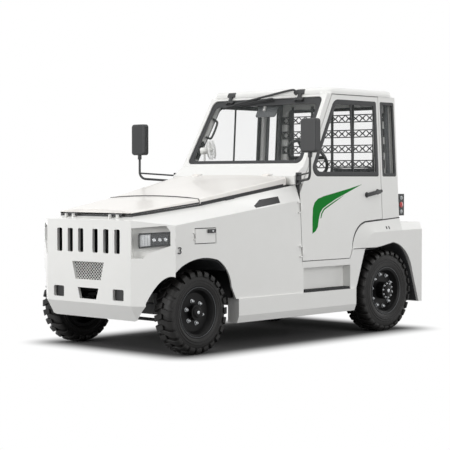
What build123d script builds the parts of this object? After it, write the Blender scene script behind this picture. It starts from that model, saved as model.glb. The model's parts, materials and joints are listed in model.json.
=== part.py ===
from build123d import *
from collections import namedtuple
import math
import os

# Electric baggage tractor: +X forward, +Y to its left, +Z up, origin on the ground
# under the middle of its outline. Millimetres.

# Axles and wheels
FRONT_AXLE_X = 1245
WHEELBASE = 2330
REAR_AXLE_X = FRONT_AXLE_X - WHEELBASE
FRONT_TYRE_R = 320
FRONT_TYRE_W = 188
FRONT_TYRE_OUTER_Y = 737
REAR_TYRE_R = 353
REAR_TYRE_W = 230
REAR_TYRE_OUTER_Y = 741
KINGPIN_Y = 520
KINGPIN_R = 20
SPINDLE_R = 32
RUNNING_FIT = 0.05

# Body outline
NOSE_X = 1708
NOSE_HALF = 475
CHAMFER_X = 1512
SIDE_Y = 747
NOSE_TOP_Z = 1013
CHAMFER_TOP_Z = 979
BUMPER_CREASE_Z = 380
BUMPER_BOTTOM_Z = 262
BUMPER_SETBACK = 70
NOSE_WALL = 24
PANEL = 14
TAIL_X = -1579
SHUT_GAP = 6

# Hood line: where lids and side panels meet
LID_FRONT_X = 1631
LID_FRONT_HALF = 406
LID_FRONT_Z = 1036
HOOD_SEAM_X = 1005
HOOD_REAR_X = 113
HOOD_REAR_HALF = 650
HOOD_REAR_Z = 1263
LID_SEAM_HALF = 506
LID_SEAM_Z = 1112
LID_FRONT_RISE = 20
LID_SEAM_RISE = 40
HOOD_REAR_RISE = 60
HOOD_CROWN = 18

# Cab side plane leans inwards as it rises
DOOR_BOTTOM_Z = 657
DOOR_LOW_Y = 735
LEAN = 3.05
DOOR_T = 45
DOOR_FRONT_X = 50
DOOR_REAR_X = -1035
CAB_REAR_X = -1280
CAB_TOP_Z = 2030
ROOF_T = 55
RAKE = 29.5
SCREEN_FOOT_X = -9
SCREEN_FOOT_Z = 1425
SCREEN_FRAME_T = 50
BELT_Z = 1340
WINDOW_HEAD = 45
WINDOW_TOP_Z = CAB_TOP_Z - WINDOW_HEAD
GLASS_T = 6
GLASS_FIT = 0.3

# Chassis
RAIL_Y = 340
RAIL_T = 40
RAIL_Z = 450
RAIL_TOP_Z = 600
FLOOR_T = 40
DECK_Z = 940
DECK_T = 40
FENDER_IN_Y = 480
FENDER_OUT_Y = 755
SKIRT_Y = 757
SKIRT_IN_Y = 640
SKIRT_TOP_Z = 400
SKIRT_BOTTOM_Z = 212
SKIRT_FRONT_X = 835
SKIRT_REAR_X = -625

FLOOR_Z = RAIL_TOP_Z + FLOOR_T
lean = math.radians(LEAN)
rake = math.radians(RAKE)


def side_y(z):
    """Half width of the cab's outer face at height z."""
    return DOOR_LOW_Y - (z - DOOR_BOTTOM_Z) * math.tan(lean)


def pillar_x(z):
    """X of the rear edge of the windscreen frame at height z, seen from the side."""
    foot_x = SCREEN_FOOT_X - SCREEN_FRAME_T * math.cos(rake)
    foot_z = SCREEN_FOOT_Z - SCREEN_FRAME_T * math.sin(rake)
    return foot_x - (z - foot_z) * math.tan(rake)


def on_side(points):
    """Side view points (x, z) laid in the leaning cab side plane."""
    return [(x, (z - DOOR_BOTTOM_Z) / math.cos(lean)) for x, z in points]


def save(part, name):
    """Label a finished piece and write it as its own file."""
    part.label = name
    export_step(part, f"parts/{name}.step")


def outline(points):
    """Closed face through the points, in the sketch being built."""
    Polygon(*points, align=None)


CAB_SIDE = Plane(
    origin=(0, DOOR_LOW_Y, DOOR_BOTTOM_Z),
    x_dir=(1, 0, 0),
    z_dir=(0, -math.cos(lean), -math.sin(lean)),
)
SCREEN = Plane(
    origin=(SCREEN_FOOT_X, 0, SCREEN_FOOT_Z),
    x_dir=(0, 1, 0),
    z_dir=(math.cos(rake), 0, math.sin(rake)),
)


def side_view(y):
    """Plane for a side view profile at Y = y; a positive extrude goes inwards."""
    return Plane.XZ.offset(-y)


def front_view(x):
    """Plane for a front view profile (y, z) at X = x; a positive extrude goes forward."""
    return Plane.YZ.offset(x)


os.makedirs("parts", exist_ok=True)

# Wheels. Lengths along the axle are measured from the tyre's middle, positive outwards.
Wheel = namedtuple(
    "Wheel",
    "name axle_x side tyre_r tyre_w middle_y bead_r flange_r bead_half "
    "spindle_r hub_r hub_in hub_out disc_in lugs lug_len",
)
FRONT_BEAD_R = 178
FRONT_FLANGE_R = 194
FRONT_BEAD_HALF = 66
REAR_BEAD_R = 190
REAR_FLANGE_R = 207
REAR_BEAD_HALF = 88
REAR_SPINDLE_R = 45
FLANGE_T = 10
RIM_T = 10
DISC_T = 14
HUB_CAP_T = 8
END_PLAY = 5
SHOULDER = 26
FRONT_HUB_R = 60
REAR_HUB_R = 74
FRONT_HUB_IN = -38
FRONT_HUB_OUT = 66
REAR_HUB_IN = -100
REAR_HUB_OUT = 112
FRONT_DISC_IN = 14
REAR_DISC_IN = 30
FRONT_LUGS = 19
REAR_LUGS = 18
FRONT_LUG_LEN = 62
REAR_LUG_LEN = 74
LUG_H = 20
LUG_SIDE = 9
LUG_GROOVE = 9
LUG_ROOT = 6
LUG_RUN = 2.4
LIP_W = 12
WELL_STEP = 22
FRONT_MIDDLE_Y = FRONT_TYRE_OUTER_Y - FRONT_TYRE_W / 2
REAR_MIDDLE_Y = REAR_TYRE_OUTER_Y - REAR_TYRE_W / 2

wheels = []
for side_name, side in (("left", 1), ("right", -1)):
    wheels.append(
        Wheel(
            name=f"front_{side_name}",
            axle_x=FRONT_AXLE_X,
            side=side,
            tyre_r=FRONT_TYRE_R,
            tyre_w=FRONT_TYRE_W,
            middle_y=FRONT_MIDDLE_Y,
            bead_r=FRONT_BEAD_R,
            flange_r=FRONT_FLANGE_R,
            bead_half=FRONT_BEAD_HALF,
            spindle_r=SPINDLE_R,
            hub_r=FRONT_HUB_R,
            hub_in=FRONT_HUB_IN,
            hub_out=FRONT_HUB_OUT,
            disc_in=FRONT_DISC_IN,
            lugs=FRONT_LUGS,
            lug_len=FRONT_LUG_LEN,
        )
    )
    wheels.append(
        Wheel(
            name=f"rear_{side_name}",
            axle_x=REAR_AXLE_X,
            side=side,
            tyre_r=REAR_TYRE_R,
            tyre_w=REAR_TYRE_W,
            middle_y=REAR_MIDDLE_Y,
            bead_r=REAR_BEAD_R,
            flange_r=REAR_FLANGE_R,
            bead_half=REAR_BEAD_HALF,
            spindle_r=REAR_SPINDLE_R,
            hub_r=REAR_HUB_R,
            hub_in=REAR_HUB_IN,
            hub_out=REAR_HUB_OUT,
            disc_in=REAR_DISC_IN,
            lugs=REAR_LUGS,
            lug_len=REAR_LUG_LEN,
        )
    )


def wheel_plane(wheel):
    """Half section plane of a wheel: local x is the radius, local y runs outwards."""
    return Plane(
        origin=(wheel.axle_x, wheel.side * wheel.middle_y, wheel.tyre_r),
        x_dir=(1, 0, 0),
        z_dir=(0, 0, wheel.side),
    )


for wheel in wheels:
    axle = Axis((wheel.axle_x, 0, wheel.tyre_r), (0, 1, 0))
    half = wheel.tyre_w / 2
    bore_r = wheel.spindle_r + RUNNING_FIT
    barrel_in_r = wheel.bead_r - RIM_T

    with BuildPart() as rim:
        with BuildSketch(wheel_plane(wheel)):
            with BuildLine():
                Polyline(
                    (bore_r, wheel.hub_in),
                    (wheel.hub_r, wheel.hub_in),
                    (wheel.hub_r, wheel.disc_in),
                    (barrel_in_r, wheel.disc_in),
                    (barrel_in_r, -wheel.bead_half - FLANGE_T),
                    (wheel.flange_r, -wheel.bead_half - FLANGE_T),
                    (wheel.flange_r, -wheel.bead_half),
                    (wheel.bead_r, -wheel.bead_half),
                    (wheel.bead_r, wheel.bead_half),
                    (wheel.flange_r, wheel.bead_half),
                    (wheel.flange_r, wheel.bead_half + FLANGE_T),
                    (wheel.flange_r - LIP_W, wheel.bead_half + FLANGE_T),
                    (barrel_in_r, wheel.bead_half),
                    (barrel_in_r - RIM_T, wheel.disc_in + DISC_T + WELL_STEP),
                    (barrel_in_r - WELL_STEP, wheel.disc_in + DISC_T),
                    (wheel.hub_r, wheel.disc_in + DISC_T),
                    (wheel.hub_r, wheel.hub_out),
                    (0, wheel.hub_out),
                    (0, wheel.hub_out - HUB_CAP_T),
                    (bore_r, wheel.hub_out - HUB_CAP_T),
                    close=True,
                )
            make_face()
        revolve(axis=axle)
    save(rim.part, f"{wheel.name}_rim")

    # Carcass, then two rows of shoulder lugs half a pitch apart
    carcass_r = wheel.tyre_r - LUG_H
    wall = half - LUG_SIDE
    lug_top_r = math.sqrt(wheel.tyre_r**2 - (wheel.lug_len / 2) ** 2)
    lug_foot_r = lug_top_r - LUG_RUN * SHOULDER
    lug_turn = math.degrees(math.asin(wheel.lug_len / 2 / wheel.tyre_r))
    with BuildPart() as tyre:
        with BuildSketch(wheel_plane(wheel)):
            with BuildLine():
                Polyline(
                    (wheel.bead_r, -wheel.bead_half),
                    (wheel.flange_r, -wheel.bead_half),
                    (wheel.flange_r + SHOULDER, -wall),
                    (carcass_r - SHOULDER, -wall),
                    (carcass_r, SHOULDER - wall),
                    (carcass_r, wall - SHOULDER),
                    (carcass_r - SHOULDER, wall),
                    (wheel.flange_r + SHOULDER, wall),
                    (wheel.flange_r, wheel.bead_half),
                    (wheel.bead_r, wheel.bead_half),
                    close=True,
                )
            make_face()
        revolve(axis=axle)
        for row, phase in ((1, 0), (-1, 0.5)):
            for number in range(wheel.lugs):
                turn = (number + phase) * 360 / wheel.lugs + lug_turn
                angle = math.radians(turn)
                lug_plane = Plane(
                    origin=(wheel.axle_x, wheel.side * wheel.middle_y, wheel.tyre_r),
                    x_dir=(math.sin(angle), 0, -math.cos(angle)),
                    z_dir=(math.cos(angle), 0, math.sin(angle)),
                )
                with BuildSketch(lug_plane):
                    outline(
                        [
                            (carcass_r - LUG_ROOT, row * LUG_GROOVE),
                            (lug_top_r, row * LUG_GROOVE),
                            (lug_top_r, row * (half - SHOULDER)),
                            (lug_foot_r, row * half),
                            (lug_foot_r, row * (wall - LUG_ROOT)),
                            (carcass_r - SHOULDER, row * (wall - SHOULDER)),
                        ]
                    )
                extrude(amount=wheel.lug_len / 2, both=True)
    save(tyre.part, f"{wheel.name}_tyre")

# Front axle: a straight beam with an eye for each kingpin and pads up to the rails
BEAM_W = 80
BEAM_H = 80
EYE_R = 42
EYE_H = 110
PAD_L = 120
AXLE_Z = FRONT_TYRE_R
with BuildPart() as front_axle:
    with Locations((FRONT_AXLE_X, 0, AXLE_Z)):
        Box(BEAM_W, 2 * KINGPIN_Y, BEAM_H)
    with Locations((FRONT_AXLE_X, KINGPIN_Y, AXLE_Z), (FRONT_AXLE_X, -KINGPIN_Y, AXLE_Z)):
        Cylinder(EYE_R, EYE_H)
        Cylinder(KINGPIN_R + RUNNING_FIT, EYE_H, mode=Mode.SUBTRACT)
    pad_bottom = AXLE_Z + BEAM_H / 2
    pad_y = RAIL_Y - RAIL_T / 2
    with Locations((FRONT_AXLE_X, pad_y, pad_bottom), (FRONT_AXLE_X, -pad_y, pad_bottom)):
        Box(PAD_L, RAIL_T, RAIL_Z - pad_bottom, align=(Align.CENTER, Align.CENTER, Align.MIN))
save(front_axle.part, "front_axle")

# Steering knuckles: two lugs round the beam's eye, kingpin, spindle and steering arm
LUG_T = 25
LUG_HALF = 45
WEB_T = 20
ARM_X = 140
ARM_W = 40
TIE_PIN_R = 10
TIE_EYE_R = 20
TIE_EYE_H = 30
TIE_ROD_R = 13
web_in_y = KINGPIN_Y + EYE_R + SHUT_GAP
lug_out_y = web_in_y + WEB_T
lug_z = EYE_H / 2 + END_PLAY
tie_pin_x = FRONT_AXLE_X - ARM_X
tie_pin_y = KINGPIN_Y
arm_z = AXLE_Z - lug_z - LUG_T
tie_z = arm_z - END_PLAY - TIE_EYE_H / 2
spindle_end = FRONT_MIDDLE_Y + FRONT_HUB_OUT - HUB_CAP_T - END_PLAY
with BuildPart() as knuckle_left:
    lug_y = (KINGPIN_Y - LUG_HALF + lug_out_y) / 2
    for z in (AXLE_Z + lug_z + LUG_T / 2, AXLE_Z - lug_z - LUG_T / 2):
        with Locations((FRONT_AXLE_X, lug_y, z)):
            Box(2 * LUG_HALF, lug_out_y - KINGPIN_Y + LUG_HALF, LUG_T)
    with Locations((FRONT_AXLE_X, lug_out_y - WEB_T / 2, AXLE_Z)):
        Box(2 * LUG_HALF, WEB_T, 2 * (lug_z + LUG_T))
    with Locations((FRONT_AXLE_X, KINGPIN_Y, AXLE_Z)):
        Cylinder(KINGPIN_R, 2 * (lug_z + LUG_T))
    with BuildSketch(side_view(lug_out_y)):
        with Locations((FRONT_AXLE_X, AXLE_Z)):
            Circle(SPINDLE_R)
    extrude(amount=lug_out_y - spindle_end)
    with Locations((FRONT_AXLE_X, tie_pin_y, arm_z)):
        Box(
            ARM_X + TIE_EYE_R,
            ARM_W,
            LUG_T,
            align=(Align.MAX, Align.CENTER, Align.MIN),
        )
    with Locations((tie_pin_x, tie_pin_y, arm_z)):
        Cylinder(TIE_PIN_R, END_PLAY + TIE_EYE_H, align=(Align.CENTER, Align.CENTER, Align.MAX))
save(knuckle_left.part, "knuckle_left")

with BuildPart() as knuckle_right:
    mirror(knuckle_left.part, about=Plane.XZ)
save(knuckle_right.part, "knuckle_right")

with BuildPart() as tie_rod:
    with BuildSketch(side_view(tie_pin_y)):
        with Locations((tie_pin_x, tie_z)):
            Circle(TIE_ROD_R)
    extrude(amount=2 * tie_pin_y)
    with Locations((tie_pin_x, tie_pin_y, tie_z), (tie_pin_x, -tie_pin_y, tie_z)):
        Cylinder(TIE_EYE_R, TIE_EYE_H)
        Cylinder(TIE_PIN_R + RUNNING_FIT, TIE_EYE_H, mode=Mode.SUBTRACT)
save(tie_rod.part, "tie_rod")

# Rear drive axle with its motor, pads up to the rails
AXLE_TUBE_R = 75
DIFF_R = 150
DIFF_W = 220
MOTOR_R = 115
MOTOR_L = 420
rear_z = REAR_TYRE_R
tube_end = REAR_MIDDLE_Y + REAR_HUB_IN - END_PLAY
rear_spindle_end = REAR_MIDDLE_Y + REAR_HUB_OUT - HUB_CAP_T - END_PLAY
with BuildPart() as rear_axle:
    with BuildSketch(side_view(tube_end)):
        with Locations((REAR_AXLE_X, rear_z)):
            Circle(AXLE_TUBE_R)
    extrude(amount=2 * tube_end)
    with BuildSketch(side_view(rear_spindle_end)):
        with Locations((REAR_AXLE_X, rear_z)):
            Circle(REAR_SPINDLE_R)
    extrude(amount=2 * rear_spindle_end)
    with BuildSketch(side_view(DIFF_W / 2)):
        with Locations((REAR_AXLE_X, rear_z)):
            Circle(DIFF_R)
    extrude(amount=DIFF_W)
    with BuildSketch(front_view(REAR_AXLE_X)):
        with Locations((0, rear_z)):
            Circle(MOTOR_R)
    extrude(amount=MOTOR_L)
    with Locations((REAR_AXLE_X, pad_y, rear_z), (REAR_AXLE_X, -pad_y, rear_z)):
        Box(PAD_L, RAIL_T, RAIL_Z - rear_z, align=(Align.CENTER, Align.CENTER, Align.MIN))
save(rear_axle.part, "rear_axle")

# Chassis frame: two rails, cross members, end plates and outriggers to the skirts
TAIL_T = 20
CROSS_T = 40
CROSS_XS = (1500, 700, 20, -620, -1430)
OUTRIGGER_XS = (790, 120, -500)
OUTRIGGER_T = 24
OUTRIGGER_DROP = 110
END_PLATE_T = 16
END_PLATE_W = 130
END_PLATE_H = 190
rail_front_x = NOSE_X - NOSE_WALL
rail_rear_x = TAIL_X + TAIL_T
rail_h = RAIL_TOP_Z - RAIL_Z
with BuildPart() as chassis_frame:
    for s in (1, -1):
        with Locations((rail_rear_x, s * pad_y, RAIL_Z)):
            Box(
                rail_front_x - rail_rear_x,
                RAIL_T,
                rail_h,
                align=(Align.MIN, Align.CENTER, Align.MIN),
            )
        with Locations((rail_front_x, s * pad_y, RAIL_TOP_Z)):
            Box(
                END_PLATE_T,
                END_PLATE_W,
                END_PLATE_H,
                align=(Align.MAX, Align.CENTER, Align.MAX),
            )
        with Locations(*[(x, s * RAIL_Y, RAIL_TOP_Z) for x in OUTRIGGER_XS]):
            Box(
                OUTRIGGER_T,
                SKIRT_IN_Y - RAIL_Y,
                rail_h + OUTRIGGER_DROP,
                align=(Align.CENTER, Align.MIN if s > 0 else Align.MAX, Align.MAX),
            )
    with Locations(*[(x, 0, RAIL_Z) for x in CROSS_XS]):
        Box(CROSS_T, 2 * RAIL_Y, rail_h, align=(Align.CENTER, Align.CENTER, Align.MIN))
save(chassis_frame.part, "chassis_frame")

# Traction battery, one closed block on the rails under the hood
BATTERY_X = 150
BATTERY_L = 890
BATTERY_W = 660
BATTERY_H = 420
with BuildPart() as battery:
    with Locations((BATTERY_X, 0, RAIL_TOP_Z)):
        Box(BATTERY_L, BATTERY_W, BATTERY_H, align=(Align.MIN, Align.CENTER, Align.MIN))
save(battery.part, "battery_block")


# Hood line stations: half width, height of the shut line and rise of the lid's edge
def along(x, front, seam, rear):
    """Value at x of a line drawn through the lid's front, the seam and the hood's rear."""
    if x >= HOOD_SEAM_X:
        t = (x - HOOD_SEAM_X) / (LID_FRONT_X - HOOD_SEAM_X)
        return seam + (front - seam) * t
    t = (x - HOOD_SEAM_X) / (HOOD_REAR_X - HOOD_SEAM_X)
    return seam + (rear - seam) * t


def line_half(x):
    """Half width of the hood line at x."""
    return along(x, LID_FRONT_HALF, LID_SEAM_HALF, HOOD_REAR_HALF)


def line_z(x):
    """Height of the hood line at x."""
    return along(x, LID_FRONT_Z, LID_SEAM_Z, HOOD_REAR_Z)


def line_rise(x):
    """Height of a lid's edge face at x."""
    return along(x, LID_FRONT_RISE, LID_SEAM_RISE, HOOD_REAR_RISE)


# Hinges: a pin between two lugs on the fixed side, a barrel and leaf on the moving side
Hinge = namedtuple("Hinge", "pin_r barrel_r barrel_half lug_t reach offset leaf_t")
HINGE_STANDOFF = 12
BODY_HINGE = Hinge(pin_r=4, barrel_r=7, barrel_half=30, lug_t=12, reach=34, offset=16, leaf_t=10)
HOOD_HINGE = BODY_HINGE._replace(offset=24, leaf_t=18)
LID_HINGE_FIXED = BODY_HINGE._replace(offset=31)
LID_HINGE_MOVING = BODY_HINGE._replace(offset=3)
FLAP_STANDOFF = 10
FLAP_HINGE = Hinge(pin_r=2.5, barrel_r=5, barrel_half=14, lug_t=6, reach=18, offset=13, leaf_t=9)


def hinge_fixed(plane, hinge):
    """Pin and lugs. Plane: z along the pin, x to the fixed side, y away from the panels."""
    lug_middle = hinge.barrel_half + END_PLAY + hinge.lug_t / 2
    with BuildPart() as fixed:
        with Locations(plane.location):
            Cylinder(hinge.pin_r, 2 * lug_middle + hinge.lug_t)
        for end in (-lug_middle, lug_middle):
            with Locations(plane.offset(end).location):
                Cylinder(hinge.barrel_r, hinge.lug_t)
                with Locations((0, -hinge.offset, 0)):
                    Box(
                        hinge.reach,
                        hinge.offset + hinge.pin_r,
                        hinge.lug_t,
                        align=(Align.MIN, Align.MIN, Align.CENTER),
                    )
    return fixed.part


def hinge_moving(plane, hinge):
    """Barrel on the pin, with a leaf that starts a shut gap behind it."""
    length = 2 * hinge.barrel_half
    with BuildPart() as moving:
        with Locations(plane.location):
            Cylinder(hinge.barrel_r, length)
            with Locations((0, -hinge.barrel_r, 0)):
                Box(
                    2 * hinge.barrel_r,
                    hinge.barrel_r,
                    length,
                    align=(Align.MAX, Align.MIN, Align.CENTER),
                )
            with Locations((-SHUT_GAP, -hinge.offset, 0)):
                Box(
                    hinge.reach - SHUT_GAP,
                    hinge.leaf_t,
                    length,
                    align=(Align.MAX, Align.MIN, Align.CENTER),
                )
            Cylinder(hinge.pin_r + RUNNING_FIT, length, mode=Mode.SUBTRACT)
    return moving.part


LID_HINGE_YS = (250, -250)
LID_HINGE_AHEAD = 17
LID_HINGE_Z = 1050
HOOD_HINGE_YS = (400, -400)
HOOD_HINGE_Z = 1356
DOOR_HINGE_ZS = (735, 1090)
PANEL_REAR_X = DOOR_FRONT_X + SHUT_GAP
lid_hinge_x = LID_FRONT_X + LID_HINGE_AHEAD
lid_hinges = []
for y in LID_HINGE_YS:
    lid_hinges.append(Plane(origin=(lid_hinge_x, y, LID_HINGE_Z), x_dir=(1, 0, 0), z_dir=(0, -1, 0)))
hood_hinges = []
for y in HOOD_HINGE_YS:
    hood_hinges.append(Plane(origin=(HOOD_REAR_X, y, HOOD_HINGE_Z), x_dir=(-1, 0, 0), z_dir=(0, 1, 0)))
door_hinges = []
for z in DOOR_HINGE_ZS:
    up = (z - DOOR_BOTTOM_Z) / math.cos(lean)
    middle = CAB_SIDE.from_local_coords((PANEL_REAR_X, up, -HINGE_STANDOFF))
    door_hinges.append(Plane(origin=middle, x_dir=(1, 0, 0), z_dir=CAB_SIDE.y_dir))


# Nose: front face, corner chamfers, bumper folded in below, top ledge round the lid
chamfer_run = NOSE_X - CHAMFER_X
chamfer_w = SIDE_Y - NOSE_HALF
chamfer_len = math.hypot(chamfer_run, chamfer_w)


def nose_plan(inset, setback=0):
    """Plan outline of the nose with each wall moved in by inset, and set back as a whole."""
    corner_y = NOSE_HALF + (chamfer_w - chamfer_len) * inset / chamfer_run
    front_x = NOSE_X - inset - setback
    side_y_there = corner_y + (front_x - CHAMFER_X) * chamfer_w / chamfer_run
    return [
        (CHAMFER_X, side_y_there),
        (front_x, corner_y),
        (front_x, -corner_y),
        (CHAMFER_X, -side_y_there),
    ]


ledge_slope = (LID_FRONT_Z - NOSE_TOP_Z) / (NOSE_X - LID_FRONT_X)
facet_corner = Vector(NOSE_X, NOSE_HALF, NOSE_TOP_Z)
facet_low = Vector(CHAMFER_X, SIDE_Y, CHAMFER_TOP_Z)
facet_high = Vector(CHAMFER_X, line_half(CHAMFER_X), line_z(CHAMFER_X))
facet_normal = (facet_low - facet_corner).cross(facet_high - facet_corner).normalized()
if facet_normal.Z < 0:
    facet_normal = facet_normal * -1
REACH = 900
LEDGE_BACK_X = CHAMFER_X - 40


def above_nose(drop):
    """Solid over the ledge and the two corner facets, all lowered by drop."""
    ledge = [
        (NOSE_X + CROSS_T, NOSE_TOP_Z - CROSS_T * ledge_slope - drop),
        (LEDGE_BACK_X, NOSE_TOP_Z + (NOSE_X - LEDGE_BACK_X) * ledge_slope - drop),
        (LEDGE_BACK_X, NOSE_TOP_Z + REACH),
        (NOSE_X + CROSS_T, NOSE_TOP_Z + REACH),
    ]
    with BuildPart() as above:
        with BuildSketch(Plane.XZ):
            Polygon(*ledge, align=None)
        extrude(amount=REACH, both=True)
        for s in (1, -1):
            facet = Plane(
                origin=(facet_corner.X, s * facet_corner.Y, facet_corner.Z - drop),
                z_dir=(facet_normal.X, s * facet_normal.Y, facet_normal.Z),
            )
            with BuildSketch(facet):
                Rectangle(2 * REACH, 2 * REACH)
            extrude(amount=REACH)
    return above.part


nose_trim = above_nose(0)
core_trim = above_nose(PANEL)
NOSE_BLANK_Z = 1150
ARCH_R = 400
ARCH_TOP_R = 345
ARCH_FULL_Z = 400
ARCH_TOP_Z = 620
with BuildPart() as nose_core:
    with BuildSketch(Plane.XY.offset(BUMPER_CREASE_Z)):
        outline(nose_plan(NOSE_WALL))
    extrude(amount=NOSE_BLANK_Z - BUMPER_CREASE_Z)
    with BuildSketch(Plane.XY.offset(BUMPER_BOTTOM_Z)):
        outline(nose_plan(NOSE_WALL, BUMPER_SETBACK))
    with BuildSketch(Plane.XY.offset(BUMPER_CREASE_Z)):
        outline(nose_plan(NOSE_WALL))
    loft(ruled=True)
    add(core_trim, mode=Mode.SUBTRACT)

SLOT_Z = 763
SLOT_TOP_Z = 944
SLOT_W = 60
SLOT_R = 12
SLOT_YS = (327, 203, 82)
MESH_Z = 557
MESH_TOP_Z = 692
MESH_HALF = 143
MESH_TOP_HALF = 180
TOW_Z = 409
TOW_TOP_Z = 494
TOW_HALF = 92
TOW_TOP_HALF = 119
HOLE_Y = 338
HOLE_Z = 455
HOLE_W = 120
HOLE_H = 84
LID_FLANGE = 10


def on_chamfer(points):
    """Points given by distance from the nose corner along the chamfer, and height."""
    return [(u, z - BUMPER_CREASE_Z) for u, z in points]


CHAMFER = Plane(
    origin=(NOSE_X, NOSE_HALF, BUMPER_CREASE_Z),
    x_dir=(-chamfer_run, chamfer_w, 0),
    z_dir=(chamfer_w, chamfer_run, 0),
)
LAMP_POCKET = [(4, 956), (265, 977), (297, 935), (297, 829), (130, 772), (92, 734), (4, 733)]
LAMP_FACE = [(52, 919), (294, 932), (294, 832), (52, 805)]
POCKET_DEPTH = 62
POCKET_WALL = 12
LAMP_DEPTH = 40
with BuildPart() as lamp_bucket:
    with BuildSketch(CHAMFER.offset(-POCKET_DEPTH - POCKET_WALL)):
        outline(on_chamfer(LAMP_POCKET))
        offset(amount=POCKET_WALL, kind=Kind.INTERSECTION)
    extrude(amount=POCKET_DEPTH)
with BuildPart() as lamp_void:
    with BuildSketch(CHAMFER.offset(-POCKET_DEPTH)):
        outline(on_chamfer(LAMP_POCKET))
    extrude(amount=2 * POCKET_DEPTH)
with BuildPart() as nose_shell:
    with BuildSketch(Plane.XY.offset(BUMPER_CREASE_Z)):
        outline(nose_plan(0))
    extrude(amount=NOSE_BLANK_Z - BUMPER_CREASE_Z)
    with BuildSketch(Plane.XY.offset(BUMPER_BOTTOM_Z)):
        outline(nose_plan(0, BUMPER_SETBACK))
    with BuildSketch(Plane.XY.offset(BUMPER_CREASE_Z)):
        outline(nose_plan(0))
    loft(ruled=True)
    add(nose_trim, mode=Mode.SUBTRACT)
    add(nose_core.part, mode=Mode.SUBTRACT)
    add(lamp_bucket.part)
    mirror(lamp_bucket.part, about=Plane.XZ)
    add(lamp_void.part, mode=Mode.SUBTRACT)
    mirror(lamp_void.part, about=Plane.XZ, mode=Mode.SUBTRACT)
    with BuildSketch(Plane.XY.offset(BUMPER_CREASE_Z)):
        outline(
            [
                (LID_FRONT_X - LID_FLANGE, LID_FRONT_HALF - LID_FLANGE),
                (CHAMFER_X - LID_FLANGE, line_half(CHAMFER_X) - LID_FLANGE),
                (CHAMFER_X - LID_FLANGE, LID_FLANGE - line_half(CHAMFER_X)),
                (LID_FRONT_X - LID_FLANGE, LID_FLANGE - LID_FRONT_HALF),
            ]
        )
    extrude(amount=NOSE_BLANK_Z - BUMPER_CREASE_Z, mode=Mode.SUBTRACT)
    for s in (1, -1):
        arch_axis = Plane(origin=(FRONT_AXLE_X, s * KINGPIN_Y, 0))
        with BuildSketch(arch_axis):
            Circle(ARCH_R)
        extrude(amount=ARCH_FULL_Z, mode=Mode.SUBTRACT)
        with BuildSketch(arch_axis.offset(ARCH_FULL_Z)):
            Circle(ARCH_R)
        with BuildSketch(arch_axis.offset(ARCH_TOP_Z)):
            Circle(ARCH_TOP_R)
        loft(mode=Mode.SUBTRACT)
    with BuildSketch(front_view(rail_front_x)):
        for s in (1, -1):
            with Locations(*[(s * y, (SLOT_Z + SLOT_TOP_Z) / 2) for y in SLOT_YS]):
                RectangleRounded(SLOT_W, SLOT_TOP_Z - SLOT_Z, SLOT_R)
            with Locations((s * HOLE_Y, HOLE_Z)):
                RectangleRounded(HOLE_W, HOLE_H, SLOT_R)
        Polygon(
            (MESH_TOP_HALF, MESH_TOP_Z),
            (-MESH_TOP_HALF, MESH_TOP_Z),
            (-MESH_HALF, MESH_Z),
            (MESH_HALF, MESH_Z),
            align=None,
        )
        Polygon(
            (TOW_TOP_HALF, TOW_TOP_Z),
            (-TOW_TOP_HALF, TOW_TOP_Z),
            (-TOW_HALF, TOW_Z),
            (TOW_HALF, TOW_Z),
            align=None,
        )
    extrude(amount=NOSE_WALL, mode=Mode.SUBTRACT)
    for plane in lid_hinges:
        add(hinge_fixed(plane, LID_HINGE_FIXED))
save(nose_shell.part, "nose_shell")

with BuildPart() as headlamps:
    with BuildSketch(CHAMFER.offset(-POCKET_DEPTH)):
        outline(on_chamfer(LAMP_FACE))
    extrude(amount=LAMP_DEPTH)
    mirror(about=Plane.XZ)
save(headlamps.part, "headlamps")

# Side panels: wall and sloping facet up to the hood line, with the front wheel arch
PANEL_CREASE_REAR_Z = 1146
FACET_DROP = 18
CREASE_DROP = 9


def panel_section(x, low_y, crease_y, crease_z):
    """Section of the bent side plate at x: wall up to the crease, facet to the hood line."""
    top_y = line_half(x)
    top_z = line_z(x)
    return [
        (low_y, SKIRT_TOP_Z),
        (crease_y, crease_z),
        (top_y, top_z),
        (top_y, top_z - FACET_DROP),
        (crease_y - PANEL, crease_z - CREASE_DROP),
        (low_y - PANEL, SKIRT_TOP_Z),
    ]


ARCH_REAR = (905, 495)
ARCH_FLANK = (955, 628)
ARCH_SHOULDER = (1053, 708)
ARCH_CROWN = (1250, 727)
ARCH_FRONT = (1450, 672)
ARCH_FOOT = [(850, SKIRT_TOP_Z - PANEL), (1600, SKIRT_TOP_Z - PANEL), (1560, 600)]
FLAP_X = 1070
FLAP_L = 236
FLAP_Z = 834
FLAP_TOP_Z = 954
VENT = [(588, 710), (296, 706), (278, 667), (482, 647), (586, 686)]
VENT_Z = 1060


def panel_at(x):
    """Section of the side plate at x, between its front and rear ends."""
    t = (CHAMFER_X - x) / (CHAMFER_X - PANEL_REAR_X)
    low_y = SIDE_Y + (side_y(SKIRT_TOP_Z) - SIDE_Y) * t
    crease_y = SIDE_Y + (side_y(PANEL_CREASE_REAR_Z) - SIDE_Y) * t
    crease_z = CHAMFER_TOP_Z + (PANEL_CREASE_REAR_Z - CHAMFER_TOP_Z) * t
    return panel_section(x, low_y, crease_y, crease_z)


def panel_plate():
    """Whole bent side plate, kinked at the hood's seam like the line above it."""
    with BuildPart() as plate:
        for x in (CHAMFER_X, HOOD_SEAM_X, PANEL_REAR_X):
            with BuildSketch(front_view(x)):
                outline(panel_at(x))
        loft(ruled=True)
    return plate.part


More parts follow.
